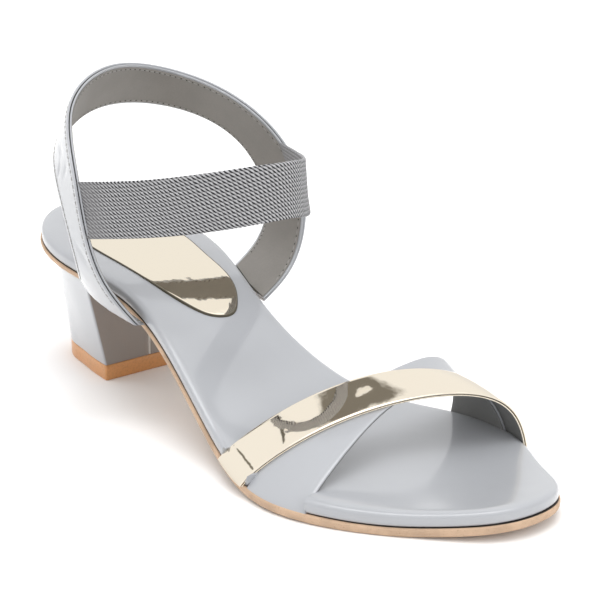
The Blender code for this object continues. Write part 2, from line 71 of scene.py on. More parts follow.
class Spline:
    """Cubic spline through rows of values, with natural ends or closed into a loop."""

    def __init__(self, knots: np.ndarray, values: np.ndarray, closed: bool = False) -> None:
        """Solve for the bends at the knots.

        Args:
            knots: increasing positions of the rows.
            values: one row of values per knot.
            closed: whether the last row joins the first.
        """
        k, v = np.asarray(knots, float), np.asarray(values, float)
        v = v[:, None] if v.ndim == 1 else v
        n, h = len(k), np.diff(k)
        a, b = np.zeros((n, n)), np.zeros((n, v.shape[1]))
        for i in range(1, n - 1):
            a[i, i - 1: i + 2] = (h[i - 1], 2 * (h[i - 1] + h[i]), h[i])
            b[i] = 6 * ((v[i + 1] - v[i]) / h[i] - (v[i] - v[i - 1]) / h[i - 1])
        if closed:
            a[0, [0, 1, n - 2]] = (2 * (h[-1] + h[0]), h[0], h[-1])
            b[0] = 6 * ((v[1] - v[0]) / h[0] - (v[-1] - v[-2]) / h[-1])
            a[-1, 0], a[-1, -1] = 1.0, -1.0
        else:
            a[0, 0] = a[-1, -1] = 1.0
        self.knots, self.values, self.bends, self.steps = k, v, np.linalg.solve(a, b), h

    def __call__(self, at: Union[float, np.ndarray]) -> np.ndarray:
        """Rows of values at the given positions, in the shape of at plus one axis."""
        at = np.asarray(at, float)
        flat = at.ravel()
        i = np.clip(np.searchsorted(self.knots, flat, side="right") - 1, 0, len(self.steps) - 1)
        h = self.steps[i][:, None]
        p = (self.knots[i + 1] - flat)[:, None] / h
        q = 1 - p
        curve = ((p ** 3 - p) * self.bends[i] + (q ** 3 - q) * self.bends[i + 1]) * h * h / 6
        rows = p * self.values[i] + q * self.values[i + 1] + curve
        return rows.reshape(*at.shape, -1)


def lengths(points: np.ndarray) -> np.ndarray:
    """Distance along a line of points, from its first point to each."""
    return np.r_[0, np.cumsum(np.linalg.norm(np.diff(points, axis=0), axis=1))]


def through(points: np.ndarray, closed: bool = False) -> Spline:
    """Spline through points, run from 0 to 1 by the distance between them."""
    p = np.asarray(points, float)
    p = np.vstack([p, p[:1]]) if closed else p
    run = lengths(p)
    return Spline(run / run[-1], p, closed)


def soft_step(x: np.ndarray, low: float, high: float) -> np.ndarray:
    """Smooth rise from 0 at low to 1 at high."""
    t = np.clip((np.asarray(x, float) - low) / (high - low), 0, 1)
    return t * t * (3 - 2 * t)


def unit(v: np.ndarray) -> np.ndarray:
    """Vectors at length one along their last axis."""
    return v / np.linalg.norm(v, axis=-1, keepdims=True)


class Outline:
    """Closed line seen from above, split into an outer and an inner side at its two ends."""

    DENSE = 4000

    def __init__(self, points: np.ndarray, stations: int) -> None:
        """Sample the line at stations that crowd towards both ends.

        Args:
            points: rows of X and Y in order round the line.
            stations: number of steps from the back end to the front end.
        """
        line = through(points, closed=True)
        at = np.arange(self.DENSE) / self.DENSE
        p = line(at)
        step = 0.5 / self.DENSE
        along = line((at + step) % 1.0) - line((at - step) % 1.0)
        out = unit(np.c_[along[:, 1], -along[:, 0]])
        if np.sum(out * (p - p.mean(0))) < 0:
            out = -out
        back, front = int(np.argmin(p[:, 0])), int(np.argmax(p[:, 0]))
        share = (1 - np.cos(np.pi * np.arange(stations + 1) / stations)) / 2
        x = p[back, 0] + (p[front, 0] - p[back, 0]) * share
        sides = []
        for way in (1, -1):
            order = (back + way * np.arange((front - back) * way % self.DENSE + 1)) % self.DENSE
            q, n = p[order], out[order]
            line_at = np.c_[x, np.interp(x, q[:, 0], q[:, 1])]
            away = unit(np.c_[np.interp(x, q[:, 0], n[:, 0]), np.interp(x, q[:, 0], n[:, 1])])
            sides.append((line_at, away))
        sides.sort(key=lambda side: side[0][stations // 2, 1])
        (self.outer, self.outer_out), (self.inner, self.inner_out) = sides
        for normal in (self.outer_out, self.inner_out):
            normal[0], normal[-1] = (-1, 0), (1, 0)
        self.inner[0] = self.outer[0] = p[back]
        self.inner[-1] = self.outer[-1] = p[front]

    def side(self, inner: bool, inset: float) -> np.ndarray:
        """One side of the line moved inwards by an inset."""
        line, away = (self.inner, self.inner_out) if inner else (self.outer, self.outer_out)
        return line - away * inset


# Meshes

class Form:
    """Points, faces and run of one piece, in millimetres."""

    def __init__(self) -> None:
        """Start with no points."""
        self.points: list = []
        self.runs: list = []
        self.faces: list = []
        self.count = 0

    def loft(self, rings: np.ndarray, run: np.ndarray, caps: bool = True) -> "Form":
        """Add a closed skin through equal rings.

        Args:
            rings: points as stations, ring, XYZ.
            run: place along and across for each point.
            caps: whether both ends are closed with a fan.

        Returns:
            The form itself.
        """
        rows, n = rings.shape[:2]
        base = self.count
        self.points.append(rings.reshape(-1, 3))
        self.runs.append(run.reshape(-1, 2))
        for k in range(rows - 1):
            a = base + k * n
            for i in range(n):
                j = (i + 1) % n
                self.faces.append((a + i, a + j, a + n + j, a + n + i))
        self.count += rows * n
        if caps:
            for k in (0, rows - 1):
                self.points.append(rings[k].mean(0)[None])
                self.runs.append(run[k].mean(0)[None])
                a = base + k * n
                self.faces += [(a + (i + 1) % n, a + i, self.count) for i in range(n)]
                self.count += 1
        return self

    def piece(self, name: str, material: bpy.types.Material, slot: "Slot", *nodes: str,
              sharp: float = 60.0) -> bpy.types.Object:
        """Make the object, ride it on the shoe's body and stand it for its CAD nodes.

        Args:
            name: name of the piece.
            material: its finish.
            slot: the record's slot of that finish; not used.
            nodes: CAD nodes that the piece stands for.
            sharp: angle in degrees above which an edge stays sharp.

        Returns:
            The new object.
        """
        points = (np.vstack(self.points) + SOLE_ORIGIN) * MM
        mesh = bpy.data.meshes.new(name)
        mesh.from_pydata(points.tolist(), [], self.faces)
        place = np.vstack(self.runs)
        corner = np.zeros(len(mesh.loops), int)
        mesh.loops.foreach_get("vertex_index", corner)
        mesh.uv_layers.new(name=RUN_MAP).data.foreach_set("uv", place[corner].ravel())
        work = bmesh.new()
        work.from_mesh(mesh)
        bmesh.ops.remove_doubles(work, verts=work.verts, dist=1e-7)
        bmesh.ops.dissolve_degenerate(work, edges=work.edges, dist=1e-8)
        bmesh.ops.recalc_face_normals(work, faces=work.faces)
        work.to_mesh(mesh)
        work.free()
        mesh.shade_smooth()
        mesh.set_sharp_from_angle(angle=math.radians(sharp))
        mesh.materials.append(material)
        obj = bpy.data.objects.new(name, mesh)
        bpy.context.scene.collection.objects.link(obj)
        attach(obj, BODY)
        if nodes:
            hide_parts(*nodes)
        log.info("%s: %d faces", name, len(mesh.polygons))
        return obj


class Slot(Enum):
    """Material slots of the record."""

    SOLE = "sole"
    PATENT = "patent"
    FOIL = "foil"
    LIFT = "lift"
    ELASTIC = "elastic"


@dataclass(frozen=True)
class Section:
    """Flat strap section with rounded edges, as a ring that starts under its first edge."""

    round: float
    columns: int
    arc: int = 7

    @cached_property
    def ring(self) -> np.ndarray:
        """Rows of share across, offset across in millimetres and share of the depth."""
        turn = np.linspace(-math.pi / 2, math.pi / 2, self.arc)
        across = np.linspace(0, 1, self.columns + 2)[1:-1]
        first = np.c_[0 * turn, self.round * (1 - np.cos(turn)), (1 - np.sin(turn)) / 2]
        top = np.c_[across, self.round * (1 - 2 * across), 0 * across]
        last = np.c_[1 + 0 * turn, -self.round * (1 - np.cos(turn)), (1 + np.sin(turn)) / 2]
        under = np.c_[across[::-1], self.round * (1 - 2 * across[::-1]), 1 + 0 * across]
        return np.vstack([first, top, last, under])


def plate(outline: Outline, profile: np.ndarray, height: Callable[[np.ndarray, np.ndarray], np.ndarray],
          columns: int) -> tuple:
    """Rings across a closed plate, one per station of its outline.

    Args:
        outline: its line seen from above.
        profile: rows of inset and share of the thickness, from the underside to the top.
        height: gives Z for X and the share of the thickness.
        columns: points between the two sides.

    Returns:
        The rings and their run: X along, and inset from the edge across.
    """
    outer, inner_side = (np.stack([outline.side(inner, row[0]) for row in profile], axis=1)
                         for inner in (False, True))
    between = np.linspace(0, 1, columns + 2)[1:-1][None, :, None]
    top = outer[:, -1:] * (1 - between) + inner_side[:, -1:] * between
    under = inner_side[:, :1] * (1 - between) + outer[:, :1] * between
    flat = np.concatenate([outer, top, inner_side[:, ::-1], under], axis=1)
    deep = np.full(columns, profile[-1, 0] + DEEP)
    share = np.r_[profile[:, 1], np.ones(columns), profile[::-1, 1], np.zeros(columns)]
    inset = np.r_[profile[:, 0], deep, profile[::-1, 0], deep]
    z = height(flat[..., 0], np.broadcast_to(share, flat.shape[:2]))
    rings = np.concatenate([flat, z[..., None]], axis=2)
    run = np.stack([flat[..., 0], np.broadcast_to(inset, flat.shape[:2])], axis=-1)
    return rings, run


class Covers:
    """Skins of straps that lie against the sides of another piece."""

    def __init__(self, skins: list) -> None:
        """Gather closed skins given as rings."""
        points, faces, base = [], [], 0
        for rings in skins:
            rows, n = rings.shape[:2]
            points += rings.reshape(-1, 3).tolist()
            for k in range(rows - 1):
                a = base + k * n
                faces += [(a + i, a + (i + 1) % n, a + n + (i + 1) % n, a + n + i) for i in range(n)]
            base += rows * n
        self.tree = BVHTree.FromPolygons(points, faces)

    def press(self, rings: np.ndarray, gap: float) -> np.ndarray:
        """Rings drawn in sideways until they clear the skins.

        Args:
            rings: points as stations, ring, XYZ, each ring at one X.
            gap: clearance that is left.

        Returns:
            The rings drawn in.
        """
        pressed = rings.copy()
        for ring in pressed:
            middle = (ring[:, 1].min() + ring[:, 1].max()) / 2
            for p in ring:
                way = 1.0 if p[1] > middle else -1.0
                hit = self.tree.ray_cast((p[0], middle, p[2]), (0.0, way, 0.0), abs(p[1] - middle) + gap)
                if hit[3] is not None:
                    p[1] = middle + way * max(hit[3] - gap, 0.0)
        return pressed


# Shader nodes

class Signal:
    """One value of a material or of the surroundings, used in Python expressions."""

    def __init__(self, graph: "Graph", socket: bpy.types.NodeSocket) -> None:
        """Hold the socket that gives the value."""
        self.graph = graph
        self.socket = socket

    def _math(self, operation: str, *values: "Operand") -> "Signal":
        """Add one Math node on the given values."""
        return self.graph.node("ShaderNodeMath", {"operation": operation}, dict(enumerate(values)))

    def __add__(self, other: "Operand") -> "Signal":
        """Sum."""
        return self._math("ADD", self, other)

    def __radd__(self, other: "Operand") -> "Signal":
        """Sum with a number on the left."""
        return self._math("ADD", other, self)

    def __sub__(self, other: "Operand") -> "Signal":
        """Difference."""
        return self._math("SUBTRACT", self, other)

    def __rsub__(self, other: "Operand") -> "Signal":
        """Difference from a number on the left."""
        return self._math("SUBTRACT", other, self)

    def __mul__(self, other: "Operand") -> "Signal":
        """Product."""
        return self._math("MULTIPLY", self, other)

    def __rmul__(self, other: "Operand") -> "Signal":
        """Product with a number on the left."""
        return self._math("MULTIPLY", other, self)

    def __truediv__(self, other: "Operand") -> "Signal":
        """Quotient."""
        return self._math("DIVIDE", self, other)

    def sine(self) -> "Signal":
        """Sine of an angle in radians."""
        return self._math("SINE", self)

    def floor(self) -> "Signal":
        """Whole part below."""
        return self._math("FLOOR", self)

    def size(self) -> "Signal":
        """Value without its sign."""
        return self._math("ABSOLUTE", self)

    def rise(self, low: float, high: float) -> "Signal":
        """Smooth rise from 0 at low to 1 at high."""
        return self.graph.node("ShaderNodeMapRange", {"interpolation_type": "SMOOTHSTEP"},
                               {"Value": self, "From Min": low, "From Max": high})


Operand = Union[Signal, float]
Colour = tuple[float, float, float]


class Graph:
    """Node tree of a material or of the surroundings."""

    def __init__(self, tree: bpy.types.NodeTree) -> None:
        """Hold the tree."""
        self.tree = tree

    def node(self, kind: str, settings: dict, inputs: dict, output: Union[int, str] = 0) -> Signal:
        """Add a node.

        Args:
            kind: type of the node.
            settings: its own settings, set first.
            inputs: values or signals by the name or number of the socket.
            output: name or number of the socket that is returned.

        Returns:
            The signal of that output.
        """
        made = self.tree.nodes.new(kind)
        for name, value in settings.items():
            setattr(made, name, value)
        for name, value in inputs.items():
            self.feed(made.inputs[name], value)
        return Signal(self, made.outputs[output])

    def feed(self, socket: bpy.types.NodeSocket, value: Union[Signal, float, tuple]) -> None:
        """Link a signal to a socket, or set its value."""
        if isinstance(value, Signal):
            self.tree.links.new(value.socket, socket)
        elif isinstance(value, tuple) and len(value) == 3 and socket.type == "RGBA":
            socket.default_value = (*value, 1.0)
        else:
            socket.default_value = value

    def place(self) -> Signal:
        """Place on the object, in metres."""
        return self.node("ShaderNodeTexCoord", {}, {}, "Object")

    def run(self) -> tuple:
        """Run along and across the piece, in millimetres."""
        both = self.node("ShaderNodeUVMap", {"uv_map": RUN_MAP}, {})
        along = self.node("ShaderNodeSeparateXYZ", {}, {0: both})
        return along, Signal(self, along.socket.node.outputs[1])

    def noise(self, pitch: float, detail: float = 2.0, roughness: float = 0.5) -> Signal:
        """Noise between 0 and 1 whose features are about pitch millimetres across."""
        return self.node("ShaderNodeTexNoise", {},
                         {"Vector": self.place(), "Scale": 1 / (pitch * MM),
                          "Detail": detail, "Roughness": roughness}, "Fac")

    def blend(self, first: Union[Signal, Colour], second: Union[Signal, Colour], share: Operand) -> Signal:
        """Colour between two, by a share of the second."""
        return self.node("ShaderNodeMix", {"data_type": "RGBA"}, {0: share, 6: first, 7: second}, 2)


class Dressing(Graph):
    """A material around one Principled shader."""

    def __init__(self, name: str) -> None:
        """Make the material."""
        self.material = bpy.data.materials.new(name)
        self.material.use_nodes = True
        super().__init__(self.material.node_tree)
        self.shader = self.tree.nodes["Principled BSDF"]

    def set(self, **values: Union[Signal, float, Colour]) -> "Dressing":
        """Feed sockets of the shader, named with _ for each space."""
        for name, value in values.items():
            self.feed(self.shader.inputs[name.replace("_", " ")], value)
        return self

    def bump(self, height: Signal) -> "Dressing":
        """Bump of a height in millimetres."""
        normal = self.node("ShaderNodeBump", {}, {"Height": height, "Distance": MM, "Strength": 1.0})
        return self.set(Normal=normal)


# Finishes

@dataclass(frozen=True)
class Patent:
    """Lacquered leather: a smooth grey ground under a clear glossy coat."""

    colour: Colour = (0.372, 0.382, 0.404)
    wave: float = 0.010
    wave_pitch: float = 14.0
    coat: float = 1.0
    coat_roughness: float = 0.035
    # Panel darkened with painted shade, warm like the tan sole it mirrors under the arch, with a seam at its
    # middle, by the run along: from, to
    panel: tuple = ()
    panel_fade: float = 0.5
    panel_shade_colour: Colour = (0.240, 0.212, 0.192)
    seam_colour: Colour = (0.62, 0.60, 0.57)
    seam_half: float = 0.34

    def material(self, name: str) -> bpy.types.Material:
        """Make the material."""
        d = Dressing(name)
        cloud = d.noise(38.0, 2.0)
        shade = tuple(c * 0.95 for c in self.colour)
        colour = d.blend(shade, self.colour, cloud.rise(0.3, 0.7))
        if self.panel:
            first, last = self.panel
            along = d.run()[0]
            inside = along.rise(first, first + self.panel_fade) * (last - along).rise(0.0, self.panel_fade)
            # Painted shade and painted reflection of the tan sole over the heel's breast panel
            colour = d.blend(colour, self.panel_shade_colour, inside)
            off = (along - (first + last) / 2).size() / self.seam_half
            colour = d.blend(colour, self.seam_colour, 1 - off.rise(0.6, 1.4))
        d.set(Base_Color=colour, Roughness=0.30 + 0.08 * d.noise(9.0), Coat_Weight=self.coat,
              Coat_Roughness=self.coat_roughness, Coat_IOR=1.55)
        peel = d.noise(1.6, 1.0) * 0.0012
        wave = d.noise(self.wave_pitch, 1.5, 0.4) * self.wave
        d.bump(peel + wave * self.wave_pitch)
        return d.material


@dataclass(frozen=True)
class Foil:
    """Mirror foil laid on a backing, with painted shade on its thin cut edge."""

    colour: Colour = (0.920, 0.838, 0.705)
    edge: float = 0.0
    edge_shade_colour: Colour = (0.060, 0.050, 0.030)
    ripple: float = 0.05
    ripple_pitch: float = 9.0

    def material(self, name: str) -> bpy.types.Material:
        """Make the material."""
        d = Dressing(name)
        metal: Operand = 1.0
        colour: Union[Signal, Colour] = self.colour
        rough: Operand = 0.02 + 0.035 * d.noise(16.0)
        if self.edge > 0:
            # Painted shade on the thin side of the foil, within the edge inset
            inside = d.run()[1].rise(self.edge * 0.7, self.edge)
            colour = d.blend(self.edge_shade_colour, self.colour, inside)
            metal = inside
            rough = 0.5 - (0.5 - rough) * inside
        d.set(Base_Color=colour, Metallic=metal, Roughness=rough)
        d.bump(d.noise(self.ripple_pitch, 2.5, 0.55) * self.ripple + d.noise(1.2, 1.0) * 0.002)
        return d.material


@dataclass(frozen=True)
class Lining:
    """Matt lining sheet with a fine grain."""

    colour: Colour = (0.205, 0.192, 0.176)

    def material(self, name: str) -> bpy.types.Material:
        """Make the material."""
        d = Dressing(name)
        grain = d.noise(0.7, 3.0, 0.6)
        cloud = d.noise(11.0, 2.0)
        light = tuple(c * 1.14 for c in self.colour)
        d.set(Base_Color=d.blend(self.colour, light, (grain * 0.5 + cloud * 0.5).rise(0.3, 0.7)),
              Roughness=0.52 + 0.2 * grain)
        d.bump(grain * 0.05)
        return d.material


@dataclass(frozen=True)
class FoldedFoil:
    """Lining whose edges are wrapped in foil."""

    fold: float = 0.45
    foil: Foil = Foil()
    lining: Lining = Lining()

    def material(self, name: str) -> bpy.types.Material:
        """Make the material."""
        d = Dressing(name)
        grain = d.noise(0.7, 3.0, 0.6)
        inside = d.run()[1].rise(self.fold * 0.8, self.fold)
        d.set(Base_Color=d.blend(self.foil.colour, self.lining.colour, inside), Metallic=1 - inside,
              Roughness=0.12 + 0.5 * inside)
        d.bump(grain * 0.03)
        return d.material


@dataclass(frozen=True)
class SoleSheet:
    """Fibre sole sheet with a cut, speckled edge."""

    colour: Colour = (0.560, 0.390, 0.265)
    dark: Colour = (0.300, 0.185, 0.110)
    # Painted shade on the top of the sheet away from its edge, hidden under the footbed and dark in the slits
    # beside the straps
    hidden_top_shade: Colour = (0.055, 0.045, 0.038)
    shade_from: tuple = (1.4, 2.4)

    def material(self, name: str) -> bpy.types.Material:
        """Make the material."""
        d = Dressing(name)
        speckle = d.noise(0.45, 3.0, 0.65)
        cloud = d.noise(7.0, 2.0)
        ground = d.blend(self.colour, tuple(c * 0.82 for c in self.colour), cloud.rise(0.35, 0.7))
        speckled = d.blend(ground, self.dark, speckle.rise(0.56, 0.74) * 0.75)
        facing = d.node("ShaderNodeTexCoord", {}, {}, "Normal")
        up = d.node("ShaderNodeSeparateXYZ", {}, {0: facing}, 2)
        shaded_top = d.run()[1].rise(*self.shade_from)
        # Painted shade on the upward facing top, away from the edge
        colour = d.blend(speckled, self.hidden_top_shade, up.rise(0.55, 0.85) * shaded_top)
        d.set(Base_Color=colour, Roughness=0.62 + 0.2 * speckle)
        d.bump(speckle * 0.07)
        return d.material


@dataclass(frozen=True)
class LiftRubber:
    """Orange tan moulded lift with a slight sheen."""

    colour: Colour = (0.610, 0.280, 0.095)

    def material(self, name: str) -> bpy.types.Material:
        """Make the material."""
        d = Dressing(name)
        fine = d.noise(0.8, 3.0)
        d.set(Base_Color=d.blend(self.colour, tuple(c * 0.84 for c in self.colour), fine.rise(0.4, 0.75)),
              Roughness=0.38 + 0.15 * fine, Coat_Weight=0.6, Coat_Roughness=0.28)
        d.bump(fine * 0.02)
        return d.material


@dataclass(frozen=True)
class Weave:
    """Stretched elastic web: slanted ribs of short strands, with painted shade in the low gaps between them.
    """

    length: float
    light: Colour = (0.450, 0.450, 0.462)
    middle: Colour = (0.200, 0.197, 0.200)
    dark: Colour = (0.012, 0.012, 0.015)
    rib: float = 1.03
    strand: float = 2.3
    slant: float = math.radians(39.9)
    wobble: float = 0.35
    # Share of a strand by which each rib is shifted against the last
    stagger: float = 0.5
    # Share of the ribs in the height, against that of the single strands
    rib_share: float = 0.62
    # Length at each end over which the gaps, dark with painted shade, open
    loose: float = 15.0

    def material(self, name: str) -> bpy.types.Material:
        """Make the material."""
        d = Dressing(name)
        along, across = d.run()
        wobble = d.noise(2.6, 1.0) * self.wobble
        c, s = math.cos(self.slant), math.sin(self.slant)
        over = (along * s + across * c + wobble) / self.rib
        down = (along * c - across * s) / self.strand + over.floor() * self.stagger
        rib = (over * 2 * math.pi).sine() * 0.5 + 0.5
        bead = (down * 2 * math.pi).sine() * 0.5 + 0.5
        height = rib * self.rib_share + bead * (1 - self.rib_share) - d.noise(0.6, 2.0) * 0.16
        ends = along.rise(3.0, self.loose) * (self.length - along).rise(1.0, self.loose * 0.7)
        open_gap = 0.35 + 0.65 * ends
        pale = d.blend(self.middle, self.light, height.rise(0.32, 0.66) * open_gap)
        # Painted shade in the low gaps between the strands
        colour = d.blend(pale, self.dark, (1 - height.rise(0.20, 0.46)) * open_gap)
        d.set(Base_Color=colour, Roughness=0.8)
        d.bump(height * 0.22)
        return d.material


@dataclass(frozen=True)
class Plain:
    """Small plain parts such as thread."""

    colour: Colour
    roughness: float

    def material(self, name: str) -> bpy.types.Material:
        """Make the material."""
        d = Dressing(name)
        fine = d.noise(0.35, 2.0)
        d.set(Base_Color=d.blend(self.colour, tuple(c * 0.7 for c in self.colour), fine),
              Roughness=self.roughness)
        d.bump(fine * 0.04)
        return d.material


# Sole

@dataclass(frozen=True)
class Sole:
    """Outsole and wrapped footbed on one outline."""

    length: float = 243.0
    ball_width: float = 92.0
    heel_rise: float = 46.6
    waist_thickness: float = 1.8
    forefoot_thickness: float = 3.3
    thin_to: float = 60.0
    thick_from: float = 140.0
    footbed_thickness: float = 4.8
    seam: float = 0.3
    stations: int = 420
    columns: int = 28
    outsole_levels: int = 12
    footbed_levels: int = 22
    # Edge seen from above: share of the length, share of the ball width
    edge: tuple = (
        (0.0053, 0.0000), (0.0453, 0.2065), (0.1481, 0.3163), (0.2955, 0.2609), (0.4387, 0.1728),
        (0.5885, 0.3087), (0.6988, 0.4620), (0.8169, 0.4783), (0.9111, 0.3533), (0.9959, 0.1848),
        (0.9971, -0.0500), (0.9325, -0.2348), (0.8407, -0.4054), (0.7082, -0.5228),
        (0.5774, -0.4522), (0.4317, -0.3630), (0.2881, -0.2967), (0.1494, -0.2913),
        (0.0490, -0.1946),
    )
    # Underside from the side: share of the length, share of the heel rise
    rise: tuple = (
        (0.000, 1.0000), (0.144, 0.9107), (0.288, 0.8251), (0.432, 0.5605), (0.576, 0.1157),
        (0.679, 0.0163), (0.782, 0.0017), (0.885, -0.0015), (0.988, 0.0612),
    )
    # Side profiles: inset in mm, share of the thickness
    outsole_side: tuple = ((1.40, 0.00), (0.62, 0.07), (0.18, 0.24), (0.02, 0.50), (0.00, 0.90), (0.25, 1.00))
    footbed_side: tuple = (
        (1.60, 0.000), (0.80, 0.050), (0.52, 0.180), (0.48, 0.400), (0.50, 0.620), (0.85, 0.800),
        (1.70, 0.925), (3.10, 0.985), (5.00, 1.000),
    )
    strap_gap: float = 0.08

    @cached_property
    def _rise(self) -> Spline:
        """Spline of the underside."""
        rows = np.array(self.rise)
        return Spline(rows[:, 0] * self.length, rows[:, 1] * self.heel_rise)

    @cached_property
    def line(self) -> Outline:
        """Outline seen from above."""
        return Outline(np.array(self.edge) * (self.length, self.ball_width), self.stations)

    def underside(self, x: np.ndarray) -> np.ndarray:
        """Height of the outsole's underside before its flat spot."""
        return self._rise(x)[..., 0]

    def thickness(self, x: np.ndarray) -> np.ndarray:
        """Thickness of the outsole."""
        more = self.forefoot_thickness - self.waist_thickness
        return self.waist_thickness + more * soft_step(x, self.thin_to, self.thick_from)

    def outsole_top(self, x: np.ndarray) -> np.ndarray:
        """Height of the outsole's top."""
        return self.underside(x) + self.thickness(x)

    def footbed_top(self, x: np.ndarray) -> np.ndarray:
        """Height of the footbed's top."""
        return self.outsole_top(x) + self.seam + self.footbed_thickness

    def edge_y(self, x: np.ndarray, inner: bool) -> np.ndarray:
        """Y of the outline on one side."""
        side = self.line.inner if inner else self.line.outer
        return np.interp(x, side[:, 0], side[:, 1])

    @staticmethod
    def _rounded(rows: tuple, levels: int) -> np.ndarray:
        """A side profile sampled evenly along its curve, on a thickness of about 4 mm."""
        scale = (1.0, 4.0)
        return through(np.array(rows) * scale)(np.linspace(0, 1, levels)) / scale

    def build_outsole(self, finish: SoleSheet) -> bpy.types.Object:
        """Make the outsole with its cut edge."""
        def height(x: np.ndarray, share: np.ndarray) -> np.ndarray:
            """Height at a share of the outsole's thickness."""
            return np.maximum(self.underside(x) + share * self.thickness(x), share * self.waist_thickness)
        side = self._rounded(self.outsole_side, self.outsole_levels)
        rings, run = plate(self.line, side, height, self.columns)
        return Form().loft(rings, run, caps=False).piece(
            "outsole_sheet", finish.material("tan_sole_sheet"), Slot.SOLE, "outsole")

    def build_footbed(self, finish: Patent, covers: Covers) -> bpy.types.Object:
        """Make the footbed wrapped in patent, pressed in under the straps."""
        def height(x: np.ndarray, share: np.ndarray) -> np.ndarray:
            """Height at a share of the footbed's thickness."""
            return self.outsole_top(x) + self.seam + share * self.footbed_thickness
        side = self._rounded(self.footbed_side, self.footbed_levels)
        rings, run = plate(self.line, side, height, self.columns)
        return Form().loft(covers.press(rings, self.strap_gap), run, caps=False).piece(
            "footbed_wrap", finish.material("grey_patent_footbed"), Slot.PATENT, "footbed")


@dataclass(frozen=True)
class HeelInsert:
    """Foil insert on the heel seat."""

    sole: Sole
    length: float = 93.0
    width: float = 35.0
    back: float = 8.0
    thickness: float = 0.45
    stations: int = 150
    columns: int = 20
    # Crown in its surface, across the foot near its front end
    crown: float = 0.45
    crown_at: float = 88.0
    crown_span: float = 13.0
    # Seen from above: share of the length from its back, share of the width
    edge: tuple = (
        (0.000, 0.020), (0.056, -0.214), (0.186, -0.380), (0.376, -0.451), (0.560, -0.457),
        (0.699, -0.451), (0.842, -0.417), (0.915, -0.357), (0.963, -0.280), (0.997, -0.129),
        (0.999, 0.000), (0.956, 0.160), (0.872, 0.309), (0.781, 0.383), (0.651, 0.443),
        (0.476, 0.540), (0.301, 0.543), (0.129, 0.414), (0.032, 0.229),
    )
    # Side profile: inset in mm, share of the thickness
    side: tuple = ((0.0, 0.0), (0.0, 0.7), (0.12, 0.95), (0.4, 1.0), (1.2, 1.0))

    def build(self, finish: Foil) -> bpy.types.Object:
        """Make the insert."""
        def height(x: np.ndarray, share: np.ndarray) -> np.ndarray:
            """Height at a share of the insert's thickness."""
            crown = self.crown * np.exp(-((x - self.crown_at) / self.crown_span) ** 2)
            return self.sole.footbed_top(x) + TOUCH + share * (self.thickness + crown)
        points = np.array(self.edge) * (self.length, self.width) + (self.back, 0)
        rings, run = plate(Outline(points, self.stations), np.array(self.side), height, self.columns)
        return Form().loft(rings, run, caps=False).piece(
            "foil_heel_insert", finish.material("gold_foil_insert"), Slot.FOIL, "heel_sock")


# Heel

